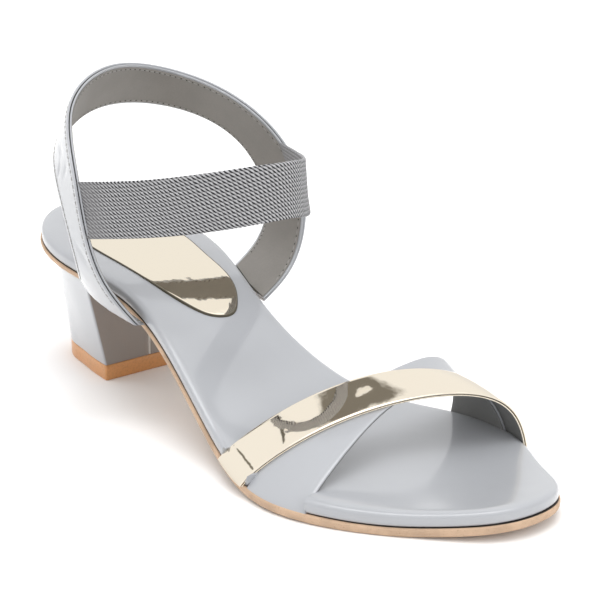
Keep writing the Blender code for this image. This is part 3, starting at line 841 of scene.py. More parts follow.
@dataclass(frozen=True)
class BlockHeel:
    """Patent covered block and its top lift."""

    sole: Sole
    lift_height: float = 5.95
    length: float = 42.0
    width: float = 39.0
    back: float = 11.4
    corner: float = 0.9
    corner_steps: int = 6
    side_stations: int = 64
    breast_stations: int = 56
    # How evenly the breast's stations lie: less crowds them at its seam
    breast_even: float = 0.35
    rings: int = 40
    # Shares of the block's height where its lower edge is rounded, and where its sides start
    edge_levels: tuple = (0.0, 0.004, 0.009)
    sides_from: float = 0.02
    edge_round: float = 0.45
    seam_depth: float = 0.40
    seam_half: float = 0.40
    fold_height: float = 0.14
    fold_at: float = 1.15
    fold_half: float = 0.6
    sharp: float = 48.0
    # Side of the lift: height, inset
    lift_side: tuple = ((0.0, 0.45), (0.12, 0.15), (0.45, 0.0), (1.6, -0.06), (4.4, -0.06))
    # Its upper edge: depth below the lift's top, inset
    lift_rim: tuple = ((0.25, 0.0), (0.0, 0.22))
    # From the front corner round to the back: share of the length, share of the width
    foot_outer: tuple = ((0.912, -0.472), (0.635, -0.423), (0.430, -0.369), (0.219, -0.305), (0.070, -0.155))
    foot_back: tuple = (0.000, 0.080)
    foot_inner: tuple = ((1.024, 0.487), (0.748, 0.515), (0.455, 0.505), (0.183, 0.456), (0.040, 0.300))
    seat_outer: tuple = ((0.950, -0.700), (0.680, -0.645), (0.348, -0.536), (0.070, -0.340), (-0.075, -0.110))
    seat_back: tuple = (-0.105, 0.100)
    seat_inner: tuple = ((1.040, 0.690), (0.730, 0.700), (0.395, 0.612), (0.100, 0.420), (-0.060, 0.270))

    def _side(self, rows: tuple, back: tuple) -> np.ndarray:
        """One side from the front corner to the back."""
        points = np.array((*rows, back)) * (self.length, self.width) + (self.back, 0)
        return through(points)(np.linspace(0, 1, self.side_stations + 1))

    def plan(self, outer: tuple, back: tuple, inner: tuple) -> np.ndarray:
        """Closed ring seen from above: outer side, breast, inner side."""
        a, b = self._side(outer, back)[::-1], self._side(inner, back)
        across = unit(b[0] - a[-1])
        turn = np.linspace(0, 1, self.corner_steps)[:, None]

        def rounded(before: np.ndarray, tip: np.ndarray, after: np.ndarray) -> np.ndarray:
            """Corner turned through a short curve."""
            return before * (1 - turn) ** 2 + 2 * tip * turn * (1 - turn) + after * turn ** 2

        along_a, along_b = unit(a[-1] - a[-2]), unit(b[0] - b[1])
        first = rounded(a[-1] - along_a * self.corner, a[-1], a[-1] + across * self.corner)
        last = rounded(b[0] - across * self.corner, b[0], b[0] - along_b * self.corner)
        share = np.linspace(0, 1, self.breast_stations + 2)[1:-1]
        lean = share - 0.5
        share = (0.5 + lean * (self.breast_even + (1 - self.breast_even) * 2 * np.abs(lean)))[:, None]
        breast = first[-1] * (1 - share) + last[0] * share
        return np.vstack([a[:-1], first, breast, last, b[1:-1]])

    @cached_property
    def foot(self) -> np.ndarray:
        """Ring at the lift."""
        return self.plan(self.foot_outer, self.foot_back, self.foot_inner)

    @cached_property
    def around(self) -> np.ndarray:
        """Distance round the ring at the lift."""
        return lengths(np.vstack([self.foot, self.foot[:1]]))[:-1]

    @property
    def breast(self) -> tuple:
        """Distances round the ring where the breast starts and ends."""
        first = self.side_stations + self.corner_steps // 2
        last = first + self.breast_stations + self.corner_steps
        return float(self.around[first]), float(self.around[last])

    @cached_property
    def seat(self) -> np.ndarray:
        """Ring under the sole."""
        return self.plan(self.seat_outer, self.seat_back, self.seat_inner)

    def _seam(self, plan: np.ndarray) -> np.ndarray:
        """Ring with the breast seam pressed in and its two folds raised."""
        start, end = self.side_stations, self.side_stations + self.breast_stations + 2 * self.corner_steps
        left, right = plan[start + self.corner_steps - 1], plan[end - self.corner_steps]
        middle = (left + right) / 2
        across = unit(right - left)
        out = np.array([across[1], -across[0]])
        s = (plan[start:end] - middle) @ across
        dent = -self.seam_depth * np.exp(-(s / self.seam_half) ** 2)
        fold = self.fold_height * np.exp(-((np.abs(s) - self.fold_at) / self.fold_half) ** 2)
        ring = plan.copy()
        ring[start:end] += out * (dent + fold)[:, None]
        return ring

    @staticmethod
    def _inset(plan: np.ndarray, depth: float) -> np.ndarray:
        """Ring moved towards its middle."""
        return plan - unit(plan - plan.mean(0)) * depth

    def build_block(self, finish: Patent) -> bpy.types.Object:
        """Make the covered block."""
        low = self.lift_height + TOUCH
        top = self.sole.underside(self.seat[:, 0]) - TOUCH
        levels = np.r_[self.edge_levels, np.linspace(self.sides_from, 1.0, self.rings)]
        rings, runs = [], []
        for t in levels:
            plan = self._seam(self.foot + (self.seat - self.foot) * t)
            z = low + (top - low) * t
            ease = max(0.0, 1 - float(z.mean() - low) / self.edge_round)
            plan = self._inset(plan, self.edge_round * (1 - math.sqrt(1 - ease * ease)))
            rings.append(np.c_[plan, z])
            runs.append(np.c_[self.around, z])
        return Form().loft(np.array(rings), np.array(runs)).piece(
            "heel_cover", finish.material("grey_patent_heel"), Slot.PATENT, "heel", sharp=self.sharp)

    def build_lift(self, finish: LiftRubber) -> bpy.types.Object:
        """Make the top lift."""
        rows = [*self.lift_side, *((self.lift_height - depth, inset) for depth, inset in self.lift_rim)]
        rings = [np.c_[self._inset(self.foot, inset), np.full(len(self.foot), z)] for z, inset in rows]
        runs = [np.c_[self.around, np.full(len(self.foot), z)] for z, _ in rows]
        return Form().loft(np.array(rings), np.array(runs)).piece(
            "top_lift_cut", finish.material("tan_lift"), Slot.LIFT, "top_lift", sharp=self.sharp)


# Vamp

@dataclass(frozen=True)
class Instep:
    """Form that the two vamp straps lie on, taken at one X and sloping from there."""

    sole: Sole
    at: float = 175.0
    span: float = 30.0
    rise: tuple = (29.09, -5.20, -2.11)
    lean: tuple = (16.05, -1.43)
    power: tuple = (1.60, -0.11)
    square: float = 0.984
    skew: float = 4.38
    outset: float = 1.1

    # Steps of X and of angle between which a normal is measured, and the least angle it is taken at
    X_STEP = 0.5
    ANGLE_STEP = 0.015
    LEAST_ANGLE = 0.02

    def _raw(self, x: np.ndarray, angle: np.ndarray) -> np.ndarray:
        """Point on the form at X and an angle round it."""
        t = (x - self.at) / self.span
        low = self.sole.edge_y(x, False) - self.outset
        high = self.sole.edge_y(x, True) + self.outset
        c, s = np.cos(angle), np.maximum(np.sin(angle), 0)
        rise = self.rise[0] + self.rise[1] * t + self.rise[2] * t * t
        lean = self.lean[0] + self.lean[1] * t
        y = (low + high) / 2 - (high - low) / 2 * np.sign(c) * np.abs(c) ** self.square + lean * s * s
        z = self.sole.outsole_top(x) + rise * s ** (self.power[0] + self.power[1] * t) - self.skew * s * s * c
        return np.stack(np.broadcast_arrays(x, y, z), axis=-1)

    def point(self, x: np.ndarray, angle: np.ndarray, depth: np.ndarray) -> np.ndarray:
        """Point below the form by a depth along its normal."""
        near = np.clip(angle, self.LEAST_ANGLE, math.pi - self.LEAST_ANGLE)
        along = self._raw(x + self.X_STEP, near) - self._raw(x - self.X_STEP, near)
        around = self._raw(x, near + self.ANGLE_STEP) - self._raw(x, near - self.ANGLE_STEP)
        normal = unit(np.cross(along, around))
        return self._raw(x, angle) - normal * np.asarray(depth, float)[..., None]


@dataclass(frozen=True)
class Vamp:
    """A patent strap and a foil strap over it, each with a backing ply."""

    instep: Instep
    stations: int = 200
    foil_back: tuple = (143.0, 190.0)
    foil_front: tuple = (159.3, 204.3)
    # Patent strap: angle round the instep, back edge, front edge, lift of its back edge
    patent_edges: tuple = (
        (0.0, 161.0, 189.0, 0.0), (20.0, 161.5, 187.3, 0.0), (45.0, 163.5, 184.8, 0.0),
        (70.0, 167.5, 182.2, 0.0), (94.0, 170.4, 182.8, 0.9), (114.0, 170.6, 184.6, 3.0),
        (132.0, 170.4, 189.0, 4.4), (150.0, 169.4, 192.0, 2.8), (180.0, 166.0, 194.0, 0.0),
    )
    ply: float = 0.82
    backing: float = 0.58
    foil_ply: float = 0.60
    foil_groove: float = 0.28
    groove_depth: float = 0.55
    foil_crown: float = 0.10
    backing_trim: float = 0.12
    foil_section: Section = Section(0.26, 22)
    groove_section: Section = Section(0.05, 8, 3)
    patent_section: Section = Section(0.34, 22)
    under_section: Section = Section(0.22, 14)
    skin_section: Section = Section(0.3, 14)
    # Rounds in which a straight edge settles on the curved form
    rounds: int = 14

    @cached_property
    def angles(self) -> np.ndarray:
        """Stations round the instep."""
        return np.linspace(0, math.pi, self.stations + 1)

    def _straight(self, ends: tuple) -> np.ndarray:
        """X of an edge that runs straight across the foot seen from above."""
        first = self.instep.point(np.array(ends[0]), np.array(0.0), 0.0)[1]
        last = self.instep.point(np.array(ends[1]), np.array(math.pi), 0.0)[1]
        x = ends[0] + (ends[1] - ends[0]) * self.angles / math.pi
        for _ in range(self.rounds):
            y = self.instep.point(x, self.angles, np.zeros_like(x))[:, 1]
            x = ends[0] + (ends[1] - ends[0]) * (y - first) / (last - first)
        return x

    def _ply(self, edges: tuple, top: float, thickness: float, trim: float, section: Section,
             crown: float = 0.0) -> tuple:
        """Rings and run of one ply of a strap.

        Args:
            edges: back X, front X and lift at each station.
            top: depth of its upper face below the instep form.
            thickness: of the ply.
            trim: how far both edges are set in.
            section: its rounded section.
            crown: how far its middle stands up.

        Returns:
            The rings and their run.
        """
        back, front, lift = (e[:, None] for e in edges)
        share, offset, deep = section.ring.T
        x = back + share * (front - back) + offset + trim * (1 - 2 * share)
        across = (x - back) / (front - back)
        raised = crown * 4 * across * (1 - across) * (1 - deep)
        depth = top + deep * thickness - lift * (1 - across) ** 2 - raised
        rings = self.instep.point(x, np.broadcast_to(self.angles[:, None], x.shape), depth)
        along = lengths(rings.mean(1))[:, None]
        return rings, np.stack(np.broadcast_arrays(along, np.minimum(x - back, front - x)), axis=-1)

    @property
    def foil_edges(self) -> tuple:
        """Edges of the foil strap."""
        back, front = self._straight(self.foil_back), self._straight(self.foil_front)
        return back, front, np.zeros_like(back)

    @property
    def patent_edges_at(self) -> tuple:
        """Edges of the patent strap."""
        rows = np.array(self.patent_edges)
        both = Spline(np.radians(rows[:, 0]), rows[:, 1:])(self.angles)
        return both[:, 0], both[:, 1], both[:, 2]

    def skins(self) -> list:
        """Rings of both straps with their backings as one ply each."""
        depth = self.ply + self.backing
        return [self._ply(self.foil_edges, 0.0, depth, 0.0, self.skin_section)[0],
                self._ply(self.patent_edges_at, depth, depth, 0.0, self.skin_section)[0]]

    def build(self, patent: Patent, foil: Foil, fold: FoldedFoil, lining: Lining, groove: Plain) -> None:
        """Make both straps with their backings."""
        depth = self.ply + self.backing
        low = self.foil_ply + self.foil_groove
        gold, grey = self.foil_edges, self.patent_edges_at
        # Name, finish, its name, slot, edges, top, thickness, trim, section, crown
        plies = (
            ("vamp_foil_strap", foil, "gold_foil_strap", Slot.FOIL,
             gold, 0.0, self.foil_ply, 0.0, self.foil_section, self.foil_crown),
            # Near black groove ply: painted shade in the groove between the foil's two plies
            ("vamp_foil_groove_shade", groove, "groove_shade_fill", Slot.FOIL,
             gold, self.foil_ply, self.foil_groove, self.groove_depth, self.groove_section, 0.0),
            ("vamp_foil_fold", fold, "gold_fold", Slot.FOIL,
             gold, low, depth - low - TOUCH, 0.0, self.under_section, 0.0),
            ("vamp_patent_strap", patent, "grey_patent_vamp", Slot.PATENT,
             grey, depth, self.ply, 0.0, self.patent_section, 0.0),
            ("vamp_patent_backing", lining, "vamp_lining", Slot.PATENT,
             grey, depth + self.ply + TOUCH, self.backing, self.backing_trim, self.under_section, 0.0),
        )
        for name, finish, finish_name, slot, *ply in plies:
            nodes = ("vamp",) if name.endswith("strap") else ()
            rings, run = self._ply(*ply)
            Form().loft(rings, run).piece(name, finish.material(finish_name), slot, *nodes)


# Sling band and elastic

class Ribbon:
    """Flat strap between a lower and an upper edge in space."""

    STEP = 0.004

    def __init__(self, low: np.ndarray, high: np.ndarray, flare: float = 0.0,
                 flare_span: float = 0.13) -> None:
        """Run both edges by the distance along the middle.

        Args:
            low: points of the lower edge.
            high: points of the upper edge.
            flare: how far the middle stands out at both ends.
            flare_span: share of the length that flares.
        """
        run = lengths((low + high) / 2)
        self.length = float(run[-1])
        self.low, self.high = Spline(run / run[-1], low), Spline(run / run[-1], high)
        self.flare, self.flare_span = flare, flare_span
        middle = (low.mean(0) + high.mean(0)) / 2
        away = (self.low(0.5) + self.high(0.5)) / 2 - middle
        self.sign = 1.0 if float(self._cross(np.array([0.5]))[0] @ away) > 0 else -1.0

    def _cross(self, at: np.ndarray) -> np.ndarray:
        """Unit normal before it is turned outwards."""
        before, after = np.maximum(at - self.STEP, 0), np.minimum(at + self.STEP, 1)
        along = self.low(after) + self.high(after) - self.low(before) - self.high(before)
        return unit(np.cross(along, self.high(at) - self.low(at)))

    def normal(self, at: np.ndarray) -> np.ndarray:
        """Unit normal that points outwards."""
        return self._cross(at) * self.sign

    def width(self, at: np.ndarray) -> np.ndarray:
        """Distance between the edges."""
        return np.linalg.norm(self.high(at) - self.low(at), axis=-1)

    def point(self, at: np.ndarray, across: np.ndarray, off: np.ndarray) -> np.ndarray:
        """Points at shares of the length and width, moved outwards by off."""
        a, b = self.low(at), self.high(at)
        near = np.maximum(0, 1 - np.minimum(at, 1 - at) / self.flare_span)
        bulge = self.flare * near * near * np.sin(math.pi * np.clip(across, 0, 1))
        return a + (b - a) * across[..., None] + self.normal(at) * (off + bulge)[..., None]

    def skin(self, stations: int, section: Section, outer: float, inner: float, trim: float = 0.0,
             relief: Union[Callable[[np.ndarray, np.ndarray], np.ndarray], None] = None) -> tuple:
        """Rings and run of a ply between two depths.

        Args:
            stations: number of steps along.
            section: its rounded section.
            outer: how far its outer face is off the ribbon.
            inner: how far its inner face is off the ribbon.
            trim: how far both edges are set in.
            relief: gives a further height for the run along and across in millimetres.

        Returns:
            The rings and their run.
        """
        at = np.linspace(0, 1, stations + 1)[:, None]
        share, offset, deep = section.ring.T
        width = self.width(at[:, 0])[:, None]
        mm = share * width + offset + trim * (1 - 2 * share)
        at_all = np.broadcast_to(at, mm.shape)
        off = outer + deep * (inner - outer) + 0 * mm
        if relief is not None:
            off = off + relief(at_all * self.length, mm) * (1 - deep)
        rings = self.point(at_all, mm / width, off)
        return rings, np.stack([at_all * self.length, mm], axis=-1)


@dataclass(frozen=True)
class Stitching:
    """A row of short stitches with a needle hole, a dark blob of painted shade, between each two."""

    pitch: float = 2.45
    length: float = 1.75
    width: float = 0.50
    height: float = 0.30
    hole: float = 0.55
    hole_depth: float = 0.10
    proud: float = 0.05
    rounds: int = 6
    steps: int = 5
    # Angle in radians at which a stitch's rounded ends are cut off
    pole: float = 0.08

    def _blob(self, form: Form, centre: np.ndarray, along: np.ndarray, up: np.ndarray,
              sizes: tuple) -> None:
        """Add one small rounded body."""
        side = np.cross(up, along)
        turn = np.linspace(0, 2 * math.pi, self.rounds, endpoint=False)
        rings = []
        for s in np.linspace(self.pole, math.pi - self.pole, self.steps):
            r = math.sin(s)
            rings.append(centre - along * math.cos(s) * sizes[0] / 2
                         + side * (np.cos(turn) * r * sizes[1] / 2)[:, None]
                         + up * (np.sin(turn) * r * sizes[2] / 2)[:, None])
        form.loft(np.array(rings), np.zeros((self.steps, self.rounds, 2)))

    def rows(self, ribbon: Ribbon, inset: float, off: float, outwards: float, threads: Form,
             holes: Form, start: float, end: float) -> None:
        """Add two rows of stitches, one along each edge of a ribbon.

        Args:
            ribbon: the strap.
            inset: distance from the edge.
            off: how far the sewn face is off the ribbon.
            outwards: 1 on the outer face and -1 on the inner one.
            threads: form that takes the stitches.
            holes: form that takes the needle holes, dark blobs of painted shade.
            start: share of the length where the rows start.
            end: share where they end.
        """
        thread = (self.length, self.width, self.height)
        hole = (self.hole, self.hole, self.hole_depth)
        count = int(ribbon.length * (end - start) / self.pitch)
        at = np.linspace(start, end, 2 * count + 1)
        width = ribbon.width(at)
        for across in (inset / width, 1 - inset / width):
            p = ribbon.point(at, across, np.full_like(at, off))
            along = unit(np.gradient(p, axis=0))
            up = ribbon.normal(at) * outwards
            for k in range(2 * count):
                if k % 2:
                    self._blob(threads, p[k] + up[k] * self.proud, along[k], up[k], thread)
                else:
                    # Dark blob of painted shade in the needle hole
                    self._blob(holes, p[k], along[k], up[k], hole)


@dataclass(frozen=True)
class SlingBand:
    """Band round the back of the ankle: patent outside, lining inside, stitched rims."""

    sole: Sole
    thickness: float = 2.4
    height: float = 113.0
    flare: float = 3.0
    stations: int = 380
    # Outer base over the back to the inner base: lower edge then upper edge, as shares of
    # the sole's length, its ball width and the band's height
    rows: tuple = (
        (0.2025, -0.297, 0.374, 0.3600, -0.322, 0.300), (0.2683, -0.440, 0.493, 0.3370, -0.474, 0.505),
        (0.2391, -0.443, 0.681, 0.2988, -0.489, 0.788), (0.1667, -0.318, 0.798, 0.2037, -0.315, 0.948),
        (0.1111, 0.004, 0.852, 0.1436, 0.015, 1.002), (0.1132, 0.289, 0.816, 0.1436, 0.276, 0.951),
        (0.2305, 0.458, 0.717, 0.2860, 0.417, 0.848), (0.2922, 0.460, 0.515, 0.3733, 0.470, 0.573),
        (0.3070, 0.380, 0.440, 0.3830, 0.400, 0.408), (0.3144, 0.242, 0.375, 0.4008, 0.192, 0.320),
    )
    rim: float = 0.9
    rim_step: float = 0.45
    outer_ply: float = 0.9
    groove: float = 0.34
    groove_depth: float = 0.5
    # Soft creases in the patent: run along, distance across, half length, half width, depth, slant
    creases: tuple = (
        (62.0, 6.5, 3.2, 1.1, 0.45, 0.9), (68.0, 10.5, 4.0, 1.3, 0.38, -0.4),
        (58.0, 12.5, 3.0, 1.2, 0.35, 1.2), (250.0, 8.0, 5.0, 1.6, 0.30, 0.5),
        (30.0, 9.0, 5.5, 1.8, 0.28, -0.7),
    )
    patent_section: Section = Section(0.42, 26, 9)
    groove_section: Section = Section(0.05, 6, 3)
    fold_section: Section = Section(0.36, 20, 7)
    lining_section: Section = Section(0.18, 20, 5)
    skin_section: Section = Section(1.0, 12)
    # Stitches: distance from the lining's edge and from the outer edge, share left free at the ends
    inner_seam: float = 0.8
    inner_free: float = 0.03
    outer_seam: float = 1.9
    outer_free: float = 0.05

    def scale(self, rows: tuple, first: int) -> np.ndarray:
        """Points of one edge from rows of shares."""
        sizes = np.array([self.sole.length, self.sole.ball_width, self.height])
        return np.array([np.array(row[first: first + 3]) * sizes for row in rows])

    @cached_property
    def ribbon(self) -> Ribbon:
        """Surface that the band follows."""
        return Ribbon(self.scale(self.rows, 0), self.scale(self.rows, 3), self.flare)

    def _creases(self, along: np.ndarray, across: np.ndarray) -> np.ndarray:
        """Height of the patent's creases."""
        total = np.zeros_like(along)
        for u0, v0, half, wide, depth, slant in self.creases:
            du, dv = along - u0, across - v0
            a = du * math.cos(slant) + dv * math.sin(slant)
            b = -du * math.sin(slant) + dv * math.cos(slant)
            total -= depth * np.exp(-(a / half) ** 2 - (b / wide) ** 2)
        return total

    def _trim(self, rings: np.ndarray) -> np.ndarray:
        """Rings cut off flat at the top of the outsole."""
        floor = self.sole.outsole_top(rings[..., 0]) + TOUCH
        return np.concatenate([rings[..., :2], np.maximum(rings[..., 2], floor)[..., None]], axis=-1)

    def skin(self) -> np.ndarray:
        """Rings of the whole band."""
        half = self.thickness / 2
        return self.ribbon.skin(self.stations // 2, self.skin_section, half, -half)[0]

    def build(self, patent: Patent, lining: Lining, thread: Plain, groove: Plain) -> None:
        """Make the band, its lining and its stitches."""
        half = self.thickness / 2
        step = half - self.rim_step
        first = half - self.outer_ply
        second = first - self.groove
        # Name, finish, its name, section, outer face, inner face, trim, relief
        plies = (
            ("sling_patent", patent, "grey_patent_sling",
             self.patent_section, half, first, 0.0, self._creases),
            # Near black groove ply: painted shade between the patent and its fold at the edge
            ("sling_groove_shade", groove, "sling_groove_shade",
             self.groove_section, first, second, self.groove_depth),
            ("sling_fold", patent, "grey_patent_fold",
             self.fold_section, second, -step),
            ("sling_lining", lining, "sling_lining",
             self.lining_section, -step + TOUCH, -half, self.rim),
        )
        for name, finish, finish_name, *ply in plies:
            nodes = ("slingback_band",) if name == "sling_patent" else ()
            rings, run = self.ribbon.skin(self.stations, *ply)
            Form().loft(self._trim(rings), run).piece(name, finish.material(finish_name), Slot.PATENT, *nodes)
        threads, holes = Form(), Form()
        sewing = Stitching()
        sewing.rows(self.ribbon, self.rim + self.inner_seam, -half, -1.0, threads, holes,
                    self.inner_free, 1 - self.inner_free)
        sewing.rows(self.ribbon, self.outer_seam, half, 1.0, threads, holes,
                    self.outer_free, 1 - self.outer_free)
        threads.piece("sling_stitches", thread.material("stitch_thread"), Slot.PATENT)
        holes.piece("sling_needle_holes", groove.material("needle_hole_shade"), Slot.PATENT)


@dataclass(frozen=True)
class Elastic:
    """Woven elastic sewn to the band's front edges."""

    band: SlingBand
    thickness: float = 1.4
    entry: float = 1.2
    stations: int = 300
    section: Section = Section(0.45, 40, 7)
    # From the outer end to the inner end, in the same shares as the band's rows
    rows: tuple = (
        (0.4443, -0.367, 0.666, 0.4285, -0.385, 0.842), (0.5469, -0.181, 0.723, 0.5386, -0.184, 0.900),
        (0.5500, -0.026, 0.714, 0.5430, -0.003, 0.887), (0.5110, 0.155, 0.665, 0.4952, 0.182, 0.840),
    )
    # Heights where its edges meet the band, as shares of the band's height
    outer_end: tuple = (0.620, 0.790)
    inner_end: tuple = (0.595, 0.765)
    # Unevenness of the web: height, length along and across in which it turns by one radian
    waves: tuple = ((0.10, 7.3, 4.1), (0.06, 2.9, -3.0))

    # Points and outermost share of the band's length among which an end's place is sought
    SOUGHT = 600
    OUTERMOST = 0.02

    def _end(self, ends: tuple, inner: bool) -> np.ndarray:
        """Lower and upper corner of an end, just inside the band's front edge."""
        ribbon = self.band.ribbon
        at = np.linspace(0.5, 1 - self.OUTERMOST if inner else self.OUTERMOST, self.SOUGHT)
        z = ribbon.high(at)[:, 2]
        corners = []
        for share in ends:
            k = at[int(np.argmin(np.abs(z - share * self.band.height)))][None]
            corners.append(ribbon.point(k, 1 - self.entry / ribbon.width(k), np.zeros(1))[0])
        return np.array(corners)

    @cached_property
    def ribbon(self) -> Ribbon:
        """Surface that the elastic follows."""
        first, last = self._end(self.outer_end, False), self._end(self.inner_end, True)
        low = np.vstack([first[0], self.band.scale(self.rows, 0), last[0]])
        high = np.vstack([first[1], self.band.scale(self.rows, 3), last[1]])
        return Ribbon(low, high)

    def _ripple(self, along: np.ndarray, across: np.ndarray) -> np.ndarray:
        """Slight unevenness of the web."""
        return sum(height * np.sin(along / a + across / b) for height, a, b in self.waves)

    def build(self) -> bpy.types.Object:
        """Make the elastic."""
        half = self.thickness / 2
        rings, run = self.ribbon.skin(self.stations, self.section, half, -half, 0.0, self._ripple)
        finish = Weave(self.ribbon.length)
        return Form().loft(rings, run).piece(
            "instep_elastic", finish.material("grey_elastic_weave"), Slot.ELASTIC, "elastic")


# Studio

@dataclass(frozen=True)
class Softbox:
    """A large soft area light aimed at a point."""

    name: str
    place: tuple
    size: tuple
    power: float
    aim: tuple = (0.0, 0.0, 0.03)
    colour: Colour = (1.0, 1.0, 1.0)

    def build(self) -> bpy.types.Object:
        """Make the light."""
        data = bpy.data.lights.new(self.name, "AREA")
        data.shape = "RECTANGLE"
        data.size, data.size_y = self.size
        data.energy = self.power
        data.color = self.colour
        obj = bpy.data.objects.new(self.name, data)
        obj.location = self.place
        obj.visible_glossy = False
        obj.rotation_mode = "QUATERNION"
        obj.rotation_quaternion = (Vector(self.aim) - Vector(self.place)).to_track_quat("-Z", "Y")
        bpy.context.scene.collection.objects.link(obj)
        return obj


@dataclass(frozen=True)
class Patch:
    """Lighter or darker part of the surroundings: place and half sizes in degrees."""

    bearing: float
    height: float
    wide: float
    high: float
    tone: Colour
    turn: float = 0.0
    soft: float = 0.25
    ragged: float = 0.0
    # Size of the tears in a ragged edge, as the scale of a noise over the directions
    tear: float = 14.0

    def share(self, graph: Graph, way: Signal) -> Signal:
        """How much of the patch lies in a direction, from 0 to 1."""
        b, h, t = (math.radians(v) for v in (self.bearing, self.height, self.turn))
        centre = Vector((math.cos(h) * math.cos(b), math.cos(h) * math.sin(b), math.sin(h)))
        side = Vector((-math.sin(b), math.cos(b), 0.0))
        up = centre.cross(side)
        side, up = side * math.cos(t) + up * math.sin(t), up * math.cos(t) - side * math.sin(t)

        def along(axis: Vector) -> Signal:
            """Part of the direction along an axis."""
            return graph.node("ShaderNodeVectorMath", {"operation": "DOT_PRODUCT"},
                              {0: way, 1: tuple(axis)}, "Value")

        a = along(side / math.sin(math.radians(self.wide)))
        c = along(up / math.sin(math.radians(self.high)))
        reach = a * a + c * c
        if self.ragged > 0:
            torn = graph.node("ShaderNodeTexNoise", {},
                              {"Vector": way, "Scale": self.tear, "Detail": 3.0}, "Fac")
            reach = reach + (torn - 0.5) * self.ragged
        return (1 - reach.rise(1 - self.soft, 1 + self.soft)) * along(centre).rise(0.0, 0.1)


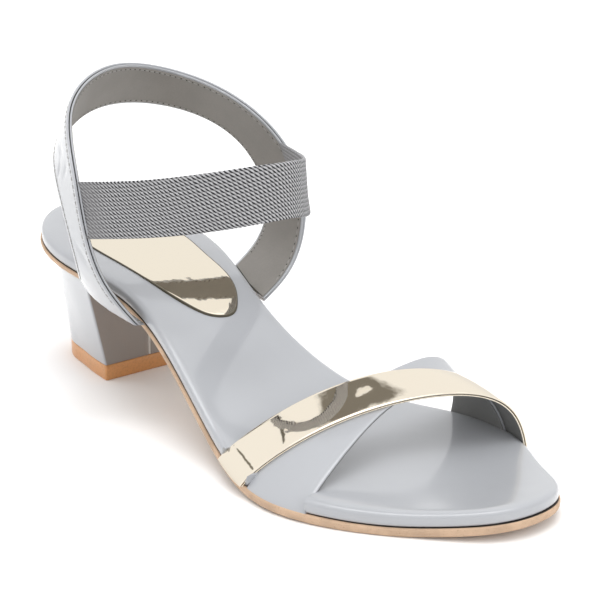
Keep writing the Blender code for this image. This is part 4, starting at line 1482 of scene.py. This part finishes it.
@dataclass(frozen=True)
class Studio:
    """White floor, pale surroundings with a few darker openings, soft lights and the camera."""

    floor_size: float = 12.0
    floor_colour: Colour = (0.93, 0.93, 0.93)
    surround: float = 0.93
    low_tone: Colour = (0.93, 0.925, 0.92)
    high_tone: Colour = (1.06, 1.06, 1.06)
    lights: tuple = (
        Softbox("overhead_softbox", (-0.3, 0.2, 1.5), (1.3, 1.3), 7.0),
        Softbox("side_softbox", (-1.2, -0.9, 0.9), (0.7, 1.2), 2.5),
        Softbox("toe_softbox", (1.3, 0.2, 0.8), (1.0, 0.7), 4.0),
    )
    # A dark opening with a bright spot in it and two slits for the foil, then pale screens
    patches: tuple = (
        Patch(158.0, 61.5, 11.0, 6.8, (0.24, 0.225, 0.20), ragged=1.1),
        Patch(153.6, 61.2, 2.7, 1.0, (1.0, 0.99, 0.97), turn=20.0, ragged=1.5),
        Patch(-171.3, 49.2, 2.4, 0.55, (0.16, 0.15, 0.13), turn=33.0, ragged=1.4),
        Patch(-160.5, 37.5, 2.4, 0.5, (0.22, 0.21, 0.18), turn=33.0, ragged=0.8),
        Patch(-45.0, 84.0, 24.0, 15.0, (3.8, 3.8, 3.8), soft=0.3),
        Patch(-95.0, 38.0, 26.0, 12.0, (1.1, 1.1, 1.1), soft=0.5),
        Patch(96.0, 55.0, 6.0, 4.0, (1.45, 1.45, 1.45), soft=0.8),
    )
    # Camera in millimetres and degrees
    azimuth: float = 48.24
    elevation: float = 21.0
    roll: float = -0.48
    distance: float = 887.0
    target: tuple = (122.1, 12.8, 44.1)
    lens: float = 152.2
    sensor: float = 36.0

    def build_floor(self) -> None:
        """Make the floor."""
        half = self.floor_size / 2
        mesh = bpy.data.meshes.new("studio_floor")
        corners = [(-half, -half, 0), (half, -half, 0), (half, half, 0), (-half, half, 0)]
        mesh.from_pydata(corners, [], [(0, 1, 2, 3)])
        d = Dressing("white_floor")
        paper = d.noise(60.0, 2.0)
        d.set(Base_Color=d.blend(self.floor_colour, tuple(c * 0.995 for c in self.floor_colour), paper),
              Roughness=0.9, Specular_IOR_Level=0.0)
        mesh.materials.append(d.material)
        floor = bpy.data.objects.new("studio_floor", mesh)
        bpy.context.scene.collection.objects.link(floor)

    def build_surround(self) -> None:
        """Make the pale surroundings that the lacquer and the foil mirror."""
        world = bpy.data.worlds.new("studio_surround")
        world.use_nodes = True
        bpy.context.scene.world = world
        g = Graph(world.node_tree)
        way = g.node("ShaderNodeTexCoord", {}, {}, "Generated")
        up = g.node("ShaderNodeSeparateXYZ", {}, {0: way}, 2)
        colour = g.blend(self.low_tone, self.high_tone, up.rise(-0.05, 0.55))
        for patch in self.patches:
            colour = g.blend(colour, patch.tone, patch.share(g, way))
        background = world.node_tree.nodes["Background"]
        g.feed(background.inputs["Color"], colour)
        background.inputs["Strength"].default_value = self.surround

    def build_camera(self) -> None:
        """Make the camera at the photograph's angle to the shoe."""
        a, e, r = (math.radians(v) for v in (self.azimuth, self.elevation, self.roll))
        back = Vector((math.sin(a) * math.cos(e), -math.cos(a) * math.cos(e), math.sin(e)))
        right = Vector((math.cos(a), math.sin(a), 0))
        up = back.cross(right)
        right, up = right * math.cos(r) + up * math.sin(r), up * math.cos(r) - right * math.sin(r)
        aim = Vector(((np.array(self.target) + SOLE_ORIGIN) * MM).tolist())
        data = bpy.data.cameras.new("camera")
        data.lens = self.lens
        data.sensor_width = self.sensor
        data.clip_start, data.clip_end = 0.01, 50.0
        camera = bpy.data.objects.new("camera", data)
        turn = Matrix((right, up, back)).transposed().to_4x4()
        camera.matrix_world = Matrix.Translation(aim + back * (self.distance * MM)) @ turn
        bpy.context.scene.collection.objects.link(camera)
        bpy.context.scene.camera = camera

    def build(self) -> None:
        """Make the whole studio."""
        self.build_floor()
        self.build_surround()
        for light in self.lights:
            light.build()
        self.build_camera()
        bpy.context.scene.view_settings.view_transform = "Standard"


def main() -> None:
    """Build and dress the sandal and its studio."""
    logging.basicConfig(level=logging.INFO, format="%(name)s: %(message)s")
    sole = Sole()
    vamp = Vamp(Instep(sole))
    band = SlingBand(sole)
    patent = Patent()
    sole.build_outsole(SoleSheet())
    sole.build_footbed(Patent(wave=0.018, coat_roughness=0.085), Covers([*vamp.skins(), band.skin()]))
    HeelInsert(sole).build(Foil(colour=(0.885, 0.805, 0.665), edge=0.55, ripple=0.10, ripple_pitch=9.0))
    heel = BlockHeel(sole)
    heel.build_block(Patent(wave=0.012, wave_pitch=9.0, panel=heel.breast))
    heel.build_lift(LiftRubber())
    inside = Lining(colour=(0.19, 0.19, 0.185))
    # Near black finish of the groove plies and needle holes: painted shade
    dark = Plain((0.02, 0.018, 0.014), 0.9)
    vamp.build(patent, Foil(), FoldedFoil(lining=inside), inside, dark)
    band.build(Patent(wave=0.02, wave_pitch=10.0), Lining(), Plain((0.34, 0.33, 0.31), 0.6), dark)
    Elastic(band).build()
    Studio().build()


if __name__ == "__main__":
    main()
